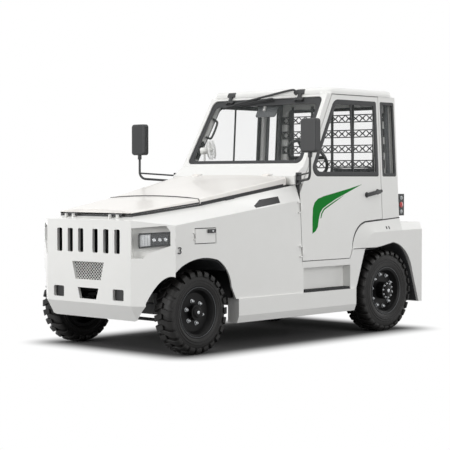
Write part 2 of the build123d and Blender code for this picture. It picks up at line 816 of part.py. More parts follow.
with BuildPart() as panel_blank:
    add(panel_plate())
    with BuildSketch(side_view(SIDE_Y + PANEL)):
        with BuildLine():
            Polyline(ARCH_REAR, *ARCH_FOOT, ARCH_FRONT)
            ThreePointArc(ARCH_FRONT, ARCH_CROWN, ARCH_SHOULDER)
            ThreePointArc(ARCH_SHOULDER, ARCH_FLANK, ARCH_REAR)
        make_face()
    extrude(amount=REACH, mode=Mode.SUBTRACT)
    with BuildSketch(Plane.XY.offset(VENT_Z)):
        outline(VENT)
    extrude(amount=REACH, mode=Mode.SUBTRACT)
    add(lamp_bucket.part, mode=Mode.SUBTRACT)

with BuildPart() as panel_vent:
    add(panel_plate())
    with BuildSketch(Plane.XY.offset(VENT_Z)):
        outline(VENT)
    extrude(amount=REACH, mode=Mode.INTERSECT)

with BuildPart() as door_lugs:
    for plane in door_hinges:
        add(hinge_fixed(plane, BODY_HINGE))

flap_centre = (FLAP_X + FLAP_L / 2, (FLAP_Z + FLAP_TOP_Z) / 2)
flap_front_x = FLAP_X + FLAP_L
wall_slope = (SIDE_Y - side_y(flap_centre[1])) / (CHAMFER_X - PANEL_REAR_X)
flap_wall_y = SIDE_Y - (CHAMFER_X - flap_front_x) * wall_slope
flap_hinge = Plane(
    origin=(flap_front_x, flap_wall_y + FLAP_STANDOFF, flap_centre[1]),
    x_dir=(1, wall_slope, 0),
    z_dir=(0, 0, 1),
)
with BuildPart() as side_panel_left:
    add(panel_blank.part)
    add(door_lugs.part)
    with BuildSketch(side_view(SIDE_Y + PANEL)):
        with Locations(flap_centre):
            Rectangle(FLAP_L, FLAP_TOP_Z - FLAP_Z)
    extrude(amount=REACH, mode=Mode.SUBTRACT)
    add(hinge_fixed(flap_hinge, FLAP_HINGE))
save(side_panel_left.part, "side_panel_left")

with BuildPart() as side_panel_right:
    mirror(panel_blank.part, about=Plane.XZ)
    mirror(door_lugs.part, about=Plane.XZ)
save(side_panel_right.part, "side_panel_right")

# Charging flap, cut from the same plate
with BuildPart() as charge_flap:
    add(panel_blank.part)
    with BuildSketch(side_view(SIDE_Y + PANEL)):
        with Locations(flap_centre):
            Rectangle(FLAP_L - 2 * SHUT_GAP, FLAP_TOP_Z - FLAP_Z - 2 * SHUT_GAP)
    extrude(amount=REACH, mode=Mode.INTERSECT)
    add(hinge_moving(flap_hinge, FLAP_HINGE))
save(charge_flap.part, "charge_flap")

# Skirts with the step, the wall behind it and the rocker under the door
ROCKER_Z = 600
SKIRT_CREASE_Z = 268
SKIRT_TUCK = 22
STEP_WALL = 20
STEP_REAR_X = -566
with BuildPart() as skirts:
    with BuildSketch(front_view(SKIRT_REAR_X)):
        outline(
            [
                (SKIRT_Y, SKIRT_TOP_Z),
                (SKIRT_Y, SKIRT_CREASE_Z),
                (SKIRT_Y - SKIRT_TUCK, SKIRT_BOTTOM_Z),
                (SKIRT_IN_Y, SKIRT_BOTTOM_Z),
                (SKIRT_IN_Y, SKIRT_TOP_Z),
            ]
        )
    extrude(amount=SKIRT_FRONT_X - SKIRT_REAR_X)
    rocker_top = DOOR_BOTTOM_Z - SHUT_GAP
    with Locations((STEP_REAR_X, SKIRT_IN_Y, SKIRT_TOP_Z)):
        Box(
            PANEL_REAR_X - STEP_REAR_X,
            STEP_WALL,
            rocker_top - SKIRT_TOP_Z,
            align=(Align.MIN, Align.MIN, Align.MIN),
        )
    with Locations((STEP_REAR_X, SKIRT_IN_Y, ROCKER_Z)):
        Box(
            PANEL_REAR_X - STEP_REAR_X,
            side_y(ROCKER_Z) - SKIRT_IN_Y,
            rocker_top - ROCKER_Z,
            align=(Align.MIN, Align.MIN, Align.MIN),
        )
    with Locations((PANEL_REAR_X, SKIRT_IN_Y, SKIRT_TOP_Z)):
        Box(
            PANEL,
            side_y(ROCKER_Z) - SKIRT_IN_Y,
            rocker_top - SKIRT_TOP_Z,
            align=(Align.MAX, Align.MIN, Align.MIN),
        )
    mirror(about=Plane.XZ)
save(skirts.part, "skirts")

# Rear fenders: blocks over the wheels, bevelled outwards to a flat outer face
FENDER_MID_Y = 720
FENDER_FOOT_Z = 735
FENDER_LOW_Z = 235
FENDER_SEAT_X = CAB_REAR_X + 1
FENDER_CROWN = [(-608, 735), (-672, 890), (-790, 955)]
FENDER_TOP = [(-790, 955), (FENDER_SEAT_X, 985), (FENDER_SEAT_X, DECK_Z), (TAIL_X, DECK_Z)]
FENDER_BEVEL = [(-792, 735), (-818, 828), (-922, 862)]
FENDER_OUTER = [(-922, 862), (FENDER_SEAT_X, 872), (-1300, 872), (-1571, 876)]
FENDER_OUTER_TAIL_X = -1571
FENDER_LEG_X = -1085
ARCH_REAR_BEND = [(-1144, 771), (-1306, 705), (-1427, 515)]
ARCH_REAR_FOOT = [(-1427, 515), (-1520, 243), (-1535, 150), (-640, 150)]
ARCH_FRONT_LEG = [(-640, 150), (-649, 400), (-722, 600), (-767, 722), (-971, 742), (-1144, 771)]
CHEEK = [(-566, 400), (-566, 651), (-608, 735), (-780, 735), (-722, 600), (-649, 400)]


def bent_outline(bend, rest):
    """Face bounded by an arc through the three bend points and a line through the rest."""
    with BuildSketch(mode=Mode.PRIVATE) as face:
        with BuildLine():
            ThreePointArc(*bend)
            Polyline(*rest, bend[0])
        make_face()
    return face.sketch


with BuildPart() as fenders:
    legs = [(TAIL_X, FENDER_LOW_Z), (FENDER_LEG_X, FENDER_LOW_Z), (FENDER_LEG_X, FENDER_FOOT_Z)]
    outer_legs = [(FENDER_OUTER_TAIL_X, FENDER_LOW_Z)] + legs[1:]
    inner_face = bent_outline(FENDER_CROWN, FENDER_TOP + legs)
    with BuildSketch(side_view(FENDER_MID_Y)):
        add(inner_face)
    extrude(amount=FENDER_MID_Y - FENDER_IN_Y)
    with BuildSketch(side_view(FENDER_MID_Y)):
        add(inner_face)
    with BuildSketch(side_view(FENDER_OUT_Y)):
        add(bent_outline(FENDER_BEVEL, FENDER_OUTER + outer_legs))
    loft(ruled=True)
    with BuildSketch(side_view(side_y(ROCKER_Z))):
        outline(CHEEK)
    extrude(amount=side_y(ROCKER_Z) - SKIRT_IN_Y)
    with BuildSketch(side_view(SIDE_Y + REACH / 2)):
        add(bent_outline(ARCH_REAR_BEND, ARCH_REAR_FOOT + ARCH_FRONT_LEG[1:-1]))
    extrude(amount=REACH, mode=Mode.SUBTRACT)
    mirror(about=Plane.XZ)
save(fenders.part, "rear_fenders")

# Rear deck with the tail plate that carries the hitch
with BuildPart() as rear_deck:
    with BuildSketch(side_view(FENDER_IN_Y)):
        outline(
            [
                (CAB_REAR_X, DECK_Z - DECK_T),
                (CAB_REAR_X, DECK_Z),
                (TAIL_X, DECK_Z),
                (TAIL_X, FENDER_LOW_Z),
                (rail_rear_x, FENDER_LOW_Z),
                (rail_rear_x, DECK_Z - DECK_T),
            ]
        )
    extrude(amount=2 * FENDER_IN_Y)
save(rear_deck.part, "rear_deck")

# Tow hitch: stepped jaw on the tail plate, with a drop pin
HITCH_REAR_X = -NOSE_X
HITCH_BASE_T = 24
HITCH_BASE_W = 240
HITCH_Z = 300
HITCH_TOP_Z = 560
HITCH_PLATE_T = 24
HITCH_PLATE_W = 150
HITCH_STEP = 100
HITCH_LOW = 12
HITCH_PIN_R = 18
HITCH_PIN_X = -1662
HITCH_HEAD_R = 30
HITCH_HEAD_H = 40
hitch_levels = [HITCH_Z + HITCH_LOW + n * HITCH_STEP for n in range(3)]
with BuildPart() as hitch_jaw:
    with Locations((TAIL_X, 0, HITCH_Z)):
        Box(HITCH_BASE_T, HITCH_BASE_W, HITCH_TOP_Z - HITCH_Z, align=(Align.MAX, Align.CENTER, Align.MIN))
    with Locations(*[(TAIL_X - HITCH_BASE_T, 0, z) for z in hitch_levels]):
        Box(
            TAIL_X - HITCH_BASE_T - HITCH_REAR_X,
            HITCH_PLATE_W,
            HITCH_PLATE_T,
            align=(Align.MAX, Align.CENTER, Align.MIN),
        )
    with Locations((HITCH_PIN_X, 0, HITCH_Z)):
        Cylinder(
            HITCH_PIN_R + RUNNING_FIT,
            HITCH_TOP_Z - HITCH_Z,
            align=(Align.CENTER, Align.CENTER, Align.MIN),
            mode=Mode.SUBTRACT,
        )
save(hitch_jaw.part, "hitch_jaw")

with BuildPart() as hitch_pin:
    pin_head_z = hitch_levels[-1] + HITCH_PLATE_T
    with Locations((HITCH_PIN_X, 0, pin_head_z)):
        Cylinder(
            HITCH_PIN_R,
            pin_head_z - HITCH_Z,
            align=(Align.CENTER, Align.CENTER, Align.MAX),
        )
        Cylinder(HITCH_HEAD_R, HITCH_HEAD_H, align=(Align.CENTER, Align.CENTER, Align.MIN))
save(hitch_pin.part, "hitch_pin")

# Cab floor: low in front of the seat, stepped up over the rear axle
RISER_X = -700
RISER_T = 20
FIREWALL_T = 20
firewall_x = PANEL_REAR_X
with BuildPart() as cab_floor:
    with Locations((RISER_X, 0, RAIL_TOP_Z)):
        Box(
            firewall_x + FIREWALL_T - RISER_X,
            2 * SKIRT_IN_Y,
            FLOOR_T,
            align=(Align.MIN, Align.CENTER, Align.MIN),
        )
    with BuildSketch(side_view(FENDER_IN_Y)):
        outline(
            [
                (RISER_X, RAIL_TOP_Z),
                (RISER_X, DECK_Z),
                (CAB_REAR_X, DECK_Z),
                (CAB_REAR_X, DECK_Z - DECK_T),
                (RISER_X - RISER_T, DECK_Z - DECK_T),
                (RISER_X - RISER_T, RAIL_TOP_Z),
            ]
        )
    extrude(amount=2 * FENDER_IN_Y)
save(cab_floor.part, "cab_floor")

# Front lid and hood: crowned slabs over the hood line
LID_GAP = 16
LID_INSET = 2
SEAM_GAP = 10
SEAM_LEAN = 0.19
SEAM_CUT_DOWN = 30
SEAM_CUT_UP = 120
LID_EDGE_R = 14
HOOD_CORNER_R = 45


def lid_section(x):
    """Crowned section of a lid at x."""
    half = line_half(x) - LID_INSET
    low = line_z(x) + LID_GAP
    edge = low + line_rise(x)
    with BuildSketch(front_view(x)) as section:
        with BuildLine():
            Polyline((-half, edge), (-half, low), (half, low), (half, edge))
            ThreePointArc((half, edge), (0, edge + HOOD_CROWN), (-half, edge))
        make_face()
    return section.sketch


def seam_cutter(edge_x, end_x):
    """Block from the leaning seam face through edge_x at the hood line, to end_x."""
    low = -SEAM_CUT_DOWN
    high = SEAM_CUT_UP
    with BuildPart() as cutter:
        with BuildSketch(side_view(REACH)):
            outline(
                [
                    (edge_x + low * SEAM_LEAN, LID_SEAM_Z + low),
                    (edge_x + high * SEAM_LEAN, LID_SEAM_Z + high),
                    (end_x, LID_SEAM_Z + high),
                    (end_x, LID_SEAM_Z + low),
                ]
            )
        extrude(amount=2 * REACH)
    return cutter.part


def long_sides(lid):
    """The two long edges where a lid's sides meet its top."""
    sides = lid.edges().filter_by(lambda edge: abs(edge.center().Y) > LID_FRONT_HALF)
    return sides.filter_by(lambda edge: edge.length > LID_FRONT_HALF).sort_by(Axis.Z)[-2:]


with BuildPart() as front_lid:
    loft([lid_section(LID_FRONT_X), lid_section(HOOD_SEAM_X)], ruled=True)
    add(seam_cutter(HOOD_SEAM_X + SEAM_GAP / 2, HOOD_SEAM_X - SEAM_CUT_UP), mode=Mode.SUBTRACT)
    fillet(long_sides(front_lid), LID_EDGE_R)
    for plane in lid_hinges:
        add(hinge_moving(plane, LID_HINGE_MOVING))
save(front_lid.part, "front_lid")

with BuildPart() as hood:
    loft([lid_section(HOOD_SEAM_X + LID_GAP), lid_section(HOOD_REAR_X + SHUT_GAP)], ruled=True)
    add(seam_cutter(HOOD_SEAM_X - SEAM_GAP / 2, HOOD_SEAM_X + SEAM_CUT_UP), mode=Mode.SUBTRACT)
    fillet(hood.edges().filter_by(Axis.Z).sort_by(Axis.X)[:2], HOOD_CORNER_R)
    fillet(long_sides(hood), LID_EDGE_R)
    for plane in hood_hinges:
        add(hinge_moving(plane, HOOD_HINGE))
save(hood.part, "hood")

# Cowl between hood and windscreen, with the bulkhead below it
COWL_Z = 1275
COWL_FRONT_TOP_Z = 1345
COWL_HALF = 694
BULKHEAD_HALF = 620
cowl_front_x = HOOD_REAR_X - SHUT_GAP
screen_back_x = SCREEN_FOOT_X - SCREEN_FRAME_T * math.cos(rake)
screen_back_z = SCREEN_FOOT_Z - SCREEN_FRAME_T * math.sin(rake)
with BuildPart() as cowl:
    with BuildSketch(side_view(COWL_HALF)):
        outline(
            [
                (cowl_front_x, COWL_Z),
                (cowl_front_x, COWL_FRONT_TOP_Z),
                (SCREEN_FOOT_X, SCREEN_FOOT_Z),
                (screen_back_x, screen_back_z),
                (pillar_x(COWL_Z), COWL_Z),
            ]
        )
    extrude(amount=2 * COWL_HALF)
    with BuildSketch(side_view(BULKHEAD_HALF)):
        outline(
            [
                (firewall_x, FLOOR_Z),
                (firewall_x + FIREWALL_T, FLOOR_Z),
                (firewall_x + FIREWALL_T, COWL_Z),
                (firewall_x, COWL_Z),
            ]
        )
    extrude(amount=2 * BULKHEAD_HALF)
    for plane in hood_hinges:
        add(hinge_fixed(plane, HOOD_HINGE))
save(cowl.part, "cowl")

# Windscreen frame and pane, in the raked plane
SCREEN_TOP_HALF = side_y(CAB_TOP_Z)
PILLAR_W = 38
SCREEN_SILL = 26
SCREEN_HEAD = 24
PANE_R = 54
PANE_DEPTH = 12
screen_h = (CAB_TOP_Z - SCREEN_FOOT_Z) / math.cos(rake)
screen_taper = (COWL_HALF - SCREEN_TOP_HALF) / screen_h
SCREEN_OVER = 60


def screen_half(v):
    """Half width of the windscreen frame at distance v up the rake."""
    return COWL_HALF - v * screen_taper


def screen_pane(inset):
    """Rounded outline of the windscreen opening, moved in by inset."""
    low = SCREEN_SILL + inset
    high = screen_h - SCREEN_HEAD - inset
    low_half = screen_half(low) - PILLAR_W - inset
    high_half = screen_half(high) - PILLAR_W - inset
    with BuildSketch(mode=Mode.PRIVATE) as pane:
        Polygon((-low_half, low), (low_half, low), (high_half, high), (-high_half, high), align=None)
        fillet(pane.vertices(), PANE_R - inset)
    return pane.sketch


with BuildPart() as windscreen_frame:
    top_v = screen_h + SCREEN_OVER
    with BuildSketch(SCREEN):
        outline(
            [
                (-COWL_HALF, 0),
                (COWL_HALF, 0),
                (screen_half(top_v), top_v),
                (-screen_half(top_v), top_v),
            ]
        )
        add(screen_pane(0), mode=Mode.SUBTRACT)
    extrude(amount=-SCREEN_FRAME_T)
    with BuildSketch(Plane.XY.offset(CAB_TOP_Z)):
        Rectangle(4 * REACH, 4 * REACH)
    extrude(amount=REACH, mode=Mode.SUBTRACT)
save(windscreen_frame.part, "windscreen_frame")

with BuildPart() as windscreen:
    with BuildSketch(SCREEN.offset(-PANE_DEPTH)):
        add(screen_pane(GLASS_FIT))
    extrude(amount=-GLASS_T)
save(windscreen.part, "windscreen")

# Roof
ROOF_OVER = 6
ROOF_CORNER_R = 90
ROOF_EDGE_R = 44
roof_half = side_y(CAB_TOP_Z) + ROOF_OVER
roof_front_x = SCREEN_FOOT_X - (CAB_TOP_Z - SCREEN_FOOT_Z) * math.tan(rake) + ROOF_OVER
roof_rear_x = CAB_REAR_X - ROOF_OVER
with BuildPart() as roof:
    with Locations((roof_rear_x, 0, CAB_TOP_Z)):
        Box(
            roof_front_x - roof_rear_x,
            2 * roof_half,
            ROOF_T,
            align=(Align.MIN, Align.CENTER, Align.MIN),
        )
    fillet(roof.edges().filter_by(Axis.Z), ROOF_CORNER_R)
    fillet(roof.faces().sort_by(Axis.Z)[-1].edges(), ROOF_EDGE_R)
save(roof.part, "roof")

# Cab sides behind the doors, standing on the fenders, with the quarter windows
QUARTER_FRONT_X = -1063
QUARTER_REAR_X = -1262
cab_side_front_x = DOOR_REAR_X - SHUT_GAP


def rounded(points, radii, inset=0):
    """Window given in side view (x, z), laid in the cab side with its own radius at each corner."""
    with BuildSketch(mode=Mode.PRIVATE) as window:
        Polygon(*on_side(points), align=None)
        if inset:
            offset(amount=-inset, kind=Kind.INTERSECTION)
        for corner, radius in zip(on_side(points), radii):
            fillet(window.vertices().sort_by_distance(corner)[0], radius - inset)
    return window.sketch


quarter_window = [
    (QUARTER_FRONT_X, BELT_Z),
    (QUARTER_REAR_X, BELT_Z),
    (QUARTER_REAR_X, WINDOW_TOP_Z),
    (QUARTER_FRONT_X, WINDOW_TOP_Z),
]
WINDOW_R = 34
QUARTER_RS = (16, 16, 16, 16)
DOOR_WINDOW_RS = (72, 18, 18, 96)
with BuildPart() as cab_sides:
    with BuildSketch(CAB_SIDE):
        outline(
            on_side(
                [
                    (cab_side_front_x, DECK_Z),
                    (cab_side_front_x, CAB_TOP_Z),
                    (CAB_REAR_X, CAB_TOP_Z),
                    (CAB_REAR_X, DECK_Z),
                ]
            )
        )
        add(rounded(quarter_window, QUARTER_RS), mode=Mode.SUBTRACT)
    extrude(amount=DOOR_T)
    with BuildSketch(Plane.XY.offset(CAB_TOP_Z)):
        Rectangle(4 * REACH, 4 * REACH)
    extrude(amount=REACH, mode=Mode.SUBTRACT)
    mirror(about=Plane.XZ)
    add(fenders.part, mode=Mode.SUBTRACT)
save(cab_sides.part, "cab_sides")

# Rear wall with its window
REAR_WALL_T = 40
REAR_WINDOW_Z = 1330
REAR_WINDOW_HEAD = 70
REAR_WINDOW_TOP_Z = CAB_TOP_Z - REAR_WINDOW_HEAD
REAR_WINDOW_HALF = 545
wall_low_half = side_y(DECK_Z) - DOOR_T / math.cos(lean)
wall_top_half = side_y(CAB_TOP_Z) - DOOR_T / math.cos(lean)


def rear_window(inset):
    """Rounded outline of the rear window, moved in by inset."""
    with BuildSketch(mode=Mode.PRIVATE) as window:
        with Locations((0, (REAR_WINDOW_Z + REAR_WINDOW_TOP_Z) / 2)):
            RectangleRounded(
                2 * (REAR_WINDOW_HALF - inset),
                REAR_WINDOW_TOP_Z - REAR_WINDOW_Z - 2 * inset,
                WINDOW_R - inset,
            )
    return window.sketch


with BuildPart() as cab_rear_wall:
    with BuildSketch(front_view(CAB_REAR_X)):
        outline(
            [
                (wall_low_half, DECK_Z),
                (wall_top_half, CAB_TOP_Z),
                (-wall_top_half, CAB_TOP_Z),
                (-wall_low_half, DECK_Z),
            ]
        )
        add(rear_window(0), mode=Mode.SUBTRACT)
    extrude(amount=REAR_WALL_T)
    add(fenders.part, mode=Mode.SUBTRACT)
save(cab_rear_wall.part, "cab_rear_wall")

with BuildPart() as rear_glazing:
    with BuildSketch(front_view(CAB_REAR_X + PANE_DEPTH)):
        add(rear_window(GLASS_FIT))
    extrude(amount=GLASS_T)
    with BuildSketch(CAB_SIDE.offset(PANE_DEPTH)):
        add(rounded(quarter_window, QUARTER_RS, GLASS_FIT))
    extrude(amount=GLASS_T)
    with BuildSketch(CAB_SIDE.offset(PANE_DEPTH)):
        add(rounded(quarter_window, QUARTER_RS, GLASS_FIT))
    quarter = extrude(amount=GLASS_T, mode=Mode.PRIVATE)
    mirror(quarter, about=Plane.XZ)
save(rear_glazing.part, "rear_glazing")

# Doors: hinged at the front edge, cut round the fender, with a framed window
DOOR_TOP_Z = CAB_TOP_Z - SHUT_GAP
DOOR_WINDOW_REAR_X = -1010
DOOR_FRAME_W = 40
door_slack = SHUT_GAP / math.cos(rake)


def door_edge_x(z):
    """X of the door's raked front edge at height z."""
    return pillar_x(z) - door_slack


def door_edge_z(x):
    """Height at which the raked edge reaches x."""
    return screen_back_z - (x + door_slack - screen_back_x) / math.tan(rake)


frame_run = DOOR_FRAME_W / math.cos(rake)
door_window = [
    (door_edge_x(BELT_Z) - frame_run, BELT_Z),
    (DOOR_WINDOW_REAR_X, BELT_Z),
    (DOOR_WINDOW_REAR_X, WINDOW_TOP_Z),
    (door_edge_x(WINDOW_TOP_Z) - frame_run, WINDOW_TOP_Z),
]
door_clear = bent_outline(
    FENDER_CROWN,
    FENDER_TOP[:2] + [(FENDER_SEAT_X, FENDER_LOW_Z), (CHEEK[0][0], FENDER_LOW_Z), CHEEK[1]],
)
with BuildPart() as door_left:
    with BuildSketch(CAB_SIDE):
        outline(
            on_side(
                [
                    (DOOR_FRONT_X, DOOR_BOTTOM_Z),
                    (DOOR_FRONT_X, door_edge_z(DOOR_FRONT_X)),
                    (door_edge_x(DOOR_TOP_Z), DOOR_TOP_Z),
                    (DOOR_REAR_X, DOOR_TOP_Z),
                    (DOOR_REAR_X, DOOR_BOTTOM_Z),
                ]
            )
        )
        add(rounded(door_window, DOOR_WINDOW_RS), mode=Mode.SUBTRACT)
    extrude(amount=DOOR_T)
    with BuildSketch(side_view(SIDE_Y)):
        add(door_clear)
        offset(amount=SHUT_GAP, kind=Kind.INTERSECTION)
    extrude(amount=REACH, mode=Mode.SUBTRACT)
    for plane in door_hinges:
        add(hinge_moving(plane, BODY_HINGE))
save(door_left.part, "door_left")

with BuildPart() as door_right:
    mirror(door_left.part, about=Plane.XZ)
save(door_right.part, "door_right")

with BuildPart() as door_glass_left:
    with BuildSketch(CAB_SIDE.offset(PANE_DEPTH)):
        add(rounded(door_window, DOOR_WINDOW_RS, GLASS_FIT))
    extrude(amount=GLASS_T)
save(door_glass_left.part, "door_glass_left")

with BuildPart() as door_glass_right:
    mirror(door_glass_left.part, about=Plane.XZ)
save(door_glass_right.part, "door_glass_right")

HANDLE_X = -905
HANDLE_Z = 1196
HANDLE_L = 200
HANDLE_H = 34
HANDLE_T = 26
HANDLE_TILT = -9
handle_v = (HANDLE_Z - DOOR_BOTTOM_Z) / math.cos(lean)
with BuildPart() as door_handle_left:
    with BuildSketch(CAB_SIDE):
        with Locations((HANDLE_X, handle_v)):
            SlotOverall(HANDLE_L, HANDLE_H, rotation=HANDLE_TILT)
    extrude(amount=-HANDLE_T)
save(door_handle_left.part, "door_handle_left")

with BuildPart() as door_handle_right:
    mirror(door_handle_left.part, about=Plane.XZ)
save(door_handle_right.part, "door_handle_right")

# Dashboard, steering column and wheel, driver's seat
DASH_HALF = 600
DASH_REAR_X = -270
DASH_Z = 1215
DASH_TOP_Z = 1395
DASH_LIP = 60
with BuildPart() as dashboard:
    with BuildSketch(side_view(DASH_HALF)):
        outline(
            [
                (pillar_x(COWL_Z), COWL_Z),
                (pillar_x(DASH_TOP_Z), DASH_TOP_Z),
                (DASH_REAR_X + DASH_LIP, DASH_TOP_Z),
                (DASH_REAR_X, DASH_TOP_Z - DASH_LIP),
                (DASH_REAR_X, DASH_Z + DASH_LIP),
                (pillar_x(COWL_Z) - DASH_LIP, DASH_Z),
                (firewall_x, DASH_Z),
                (firewall_x, COWL_Z),
            ]
        )
    extrude(amount=2 * DASH_HALF)
save(dashboard.part, "dashboard")

DRIVER_Y = 300
WHEEL_X = -530
WHEEL_Z = 1500
WHEEL_R = 190
WHEEL_GRIP_R = 14
COLUMN_TILT = 40
COLUMN_R = 30
COLUMN_BORE_R = 12
COLUMN_L = 330
HUB_R = 45
HUB_H = 40
SPOKE_W = 30
SPOKE_T = 14
tilt = math.radians(COLUMN_TILT)
steer_axis = Plane(
    origin=(WHEEL_X, DRIVER_Y, WHEEL_Z),
    x_dir=(0, 1, 0),
    z_dir=(-math.cos(tilt), 0, math.sin(tilt)),
)
with BuildPart() as steering_wheel:
    with BuildSketch(steer_axis):
        Circle(HUB_R)
    extrude(amount=HUB_H / 2, both=True)
    with BuildSketch(steer_axis):
        for angle in (0, 180, 270):
            with Locations(Location((0, 0, 0), angle)):
                with Locations((WHEEL_R / 2, 0)):
                    Rectangle(WHEEL_R, SPOKE_W)
    extrude(amount=SPOKE_T / 2, both=True)
    with BuildSketch(Plane(origin=steer_axis.origin, x_dir=steer_axis.x_dir, z_dir=-steer_axis.y_dir)):
        with Locations((WHEEL_R, 0)):
            RegularPolygon(WHEEL_GRIP_R, 8)
    revolve(axis=Axis(steer_axis.origin, steer_axis.z_dir))
    with BuildSketch(steer_axis.offset(-HUB_H / 2)):
        Circle(COLUMN_BORE_R + RUNNING_FIT)
    extrude(amount=HUB_H / 2, mode=Mode.SUBTRACT)
save(steering_wheel.part, "steering_wheel")

with BuildPart() as steering_column:
    with BuildSketch(steer_axis.offset(-HUB_H / 2 - END_PLAY)):
        Circle(COLUMN_R)
    extrude(amount=-COLUMN_L)
    with BuildSketch(steer_axis.offset(-HUB_H / 2 - END_PLAY)):
        Circle(COLUMN_BORE_R)
    extrude(amount=HUB_H / 2)
    add(dashboard.part, mode=Mode.SUBTRACT)
save(steering_column.part, "steering_column")

SEAT_BASE_L = 380
SEAT_BASE_W = 340
SEAT_BASE_H = 70
SEAT_FRONT_X = -690
CUSHION_L = 430
CUSHION_W = 480
CUSHION_H = 110
BACK_REAR_X = -1215
BACK_TOP_Z = 1440
with BuildPart() as seat_base:
    with Locations((SEAT_FRONT_X - (CUSHION_L - SEAT_BASE_L) / 2, DRIVER_Y, DECK_Z)):
        Box(SEAT_BASE_L, SEAT_BASE_W, SEAT_BASE_H, align=(Align.MAX, Align.CENTER, Align.MIN))
save(seat_base.part, "seat_base")

with BuildPart() as seat_cushion:
    with Locations((SEAT_FRONT_X, DRIVER_Y, DECK_Z + SEAT_BASE_H)):
        Box(CUSHION_L, CUSHION_W, CUSHION_H, align=(Align.MAX, Align.CENTER, Align.MIN))
save(seat_cushion.part, "seat_cushion")

with BuildPart() as seat_back:
    with Locations((BACK_REAR_X, DRIVER_Y, DECK_Z + SEAT_BASE_H)):
        Box(
            SEAT_FRONT_X - CUSHION_L - BACK_REAR_X,
            CUSHION_W,
            BACK_TOP_Z - DECK_Z - SEAT_BASE_H,
            align=(Align.MIN, Align.CENTER, Align.MIN),
        )
save(seat_back.part, "seat_back")

# Rear window guard: four bands held by upright bars on the rear wall
GUARD_BANDS = 4
GUARD_FIRST = 0.9
GUARD_SPAN = 4.64
GUARD_BAND_H = 72
GUARD_T = 5
GUARD_HALF = 590
GUARD_BAR_W = 26
GUARD_BAR_T = 8
GUARD_BAR_PITCH = 235
GUARD_BARS = 5
GUARD_PITCH = 78
GUARD_DIAMONDS = 15
GUARD_RAIL = 9
GUARD_STRAND = 10
guard_x = CAB_REAR_X + REAR_WALL_T
guard_step = (REAR_WINDOW_TOP_Z - REAR_WINDOW_Z) / GUARD_SPAN
guard_zs = [REAR_WINDOW_Z + (n + GUARD_FIRST) * guard_step for n in range(GUARD_BANDS)]
guard_low = REAR_WINDOW_Z - GUARD_BAR_W
guard_high = REAR_WINDOW_TOP_Z + GUARD_BAR_W


def guard_diamond(row):
    """Hole in a band: a diamond on its middle line, or a triangle against its upper or lower rail."""
    wide = GUARD_PITCH / 2 - GUARD_STRAND
    tall = GUARD_BAND_H / 2 - GUARD_RAIL
    if row == 0:
        hole = [(-wide, 0), (0, tall), (wide, 0), (0, -tall)]
    else:
        hole = [(-wide, row * tall), (wide, row * tall), (0, row * GUARD_STRAND / 2)]
    Polygon(*hole, align=None, mode=Mode.SUBTRACT)


with BuildPart() as rear_guard:
    with BuildSketch(front_view(guard_x)):
        with Locations((0, (guard_low + guard_high) / 2)):
            with GridLocations(GUARD_BAR_PITCH, 0, GUARD_BARS, 1):
                Rectangle(GUARD_BAR_W, guard_high - guard_low)
    extrude(amount=GUARD_BAR_T)
    with BuildSketch(front_view(guard_x + GUARD_BAR_T)):
        with Locations(*[(0, z) for z in guard_zs]):
            Rectangle(2 * GUARD_HALF, GUARD_BAND_H)
            with GridLocations(GUARD_PITCH, 0, GUARD_DIAMONDS, 1):
                guard_diamond(0)
            with GridLocations(GUARD_PITCH, 0, GUARD_DIAMONDS - 1, 1):
                guard_diamond(1)
                guard_diamond(-1)
    extrude(amount=GUARD_T)
save(rear_guard.part, "rear_guard")

# Nose mesh, held in the trapezoid opening
MESH_T = 5
MESH_PITCH = 30
MESH_ROW = 26
MESH_COLUMNS = 13
MESH_ROWS = 6
MESH_STRAND = 7
MESH_RIM = 8


def mesh_outline(inset):
    """Trapezoid of the mesh opening, moved in by inset."""
    return [
        (MESH_TOP_HALF - inset, MESH_TOP_Z - inset),
        (inset - MESH_TOP_HALF, MESH_TOP_Z - inset),
        (inset - MESH_HALF, MESH_Z + inset),
        (MESH_HALF - inset, MESH_Z + inset),
    ]


mesh_wide = (MESH_PITCH - MESH_STRAND) / 2
mesh_tall = (MESH_ROW - MESH_STRAND) / 2
with BuildSketch() as mesh_holes:
    with Locations((0, (MESH_Z + MESH_TOP_Z) / 2)):
        for columns, rows in ((MESH_COLUMNS, MESH_ROWS), (MESH_COLUMNS - 1, MESH_ROWS - 1)):
            with GridLocations(MESH_PITCH, MESH_ROW, columns, rows):
                Polygon((-mesh_wide, 0), (0, mesh_tall), (mesh_wide, 0), (0, -mesh_tall), align=None)
    Polygon(*mesh_outline(MESH_RIM), align=None, mode=Mode.INTERSECT)
with BuildPart() as nose_mesh:
    with BuildSketch(front_view(rail_front_x)):
        outline(mesh_outline(GLASS_FIT))
        add(mesh_holes.sketch, mode=Mode.SUBTRACT)
    extrude(amount=MESH_T)
save(nose_mesh.part, "nose_mesh")

# Mesh plates closing the vents in the side facets, bedded in the plate's own slope
with BuildPart() as vent_plates:
    add(panel_vent.part)
    mirror(about=Plane.XZ)
save(vent_plates.part, "vent_plates")

# Tail lamps behind the cab sides
TAIL_LAMP_Z = 998
TAIL_LAMP_H = 190
TAIL_LAMP_W = 90
TAIL_LAMP_T = 88
with BuildPart() as tail_lamps:
    with Locations((CAB_REAR_X, side_y(TAIL_LAMP_Z + TAIL_LAMP_H), TAIL_LAMP_Z)):
        Box(TAIL_LAMP_T, TAIL_LAMP_W, TAIL_LAMP_H, align=(Align.MAX, Align.MAX, Align.MIN))
    mirror(about=Plane.XZ)
save(tail_lamps.part, "tail_lamps")

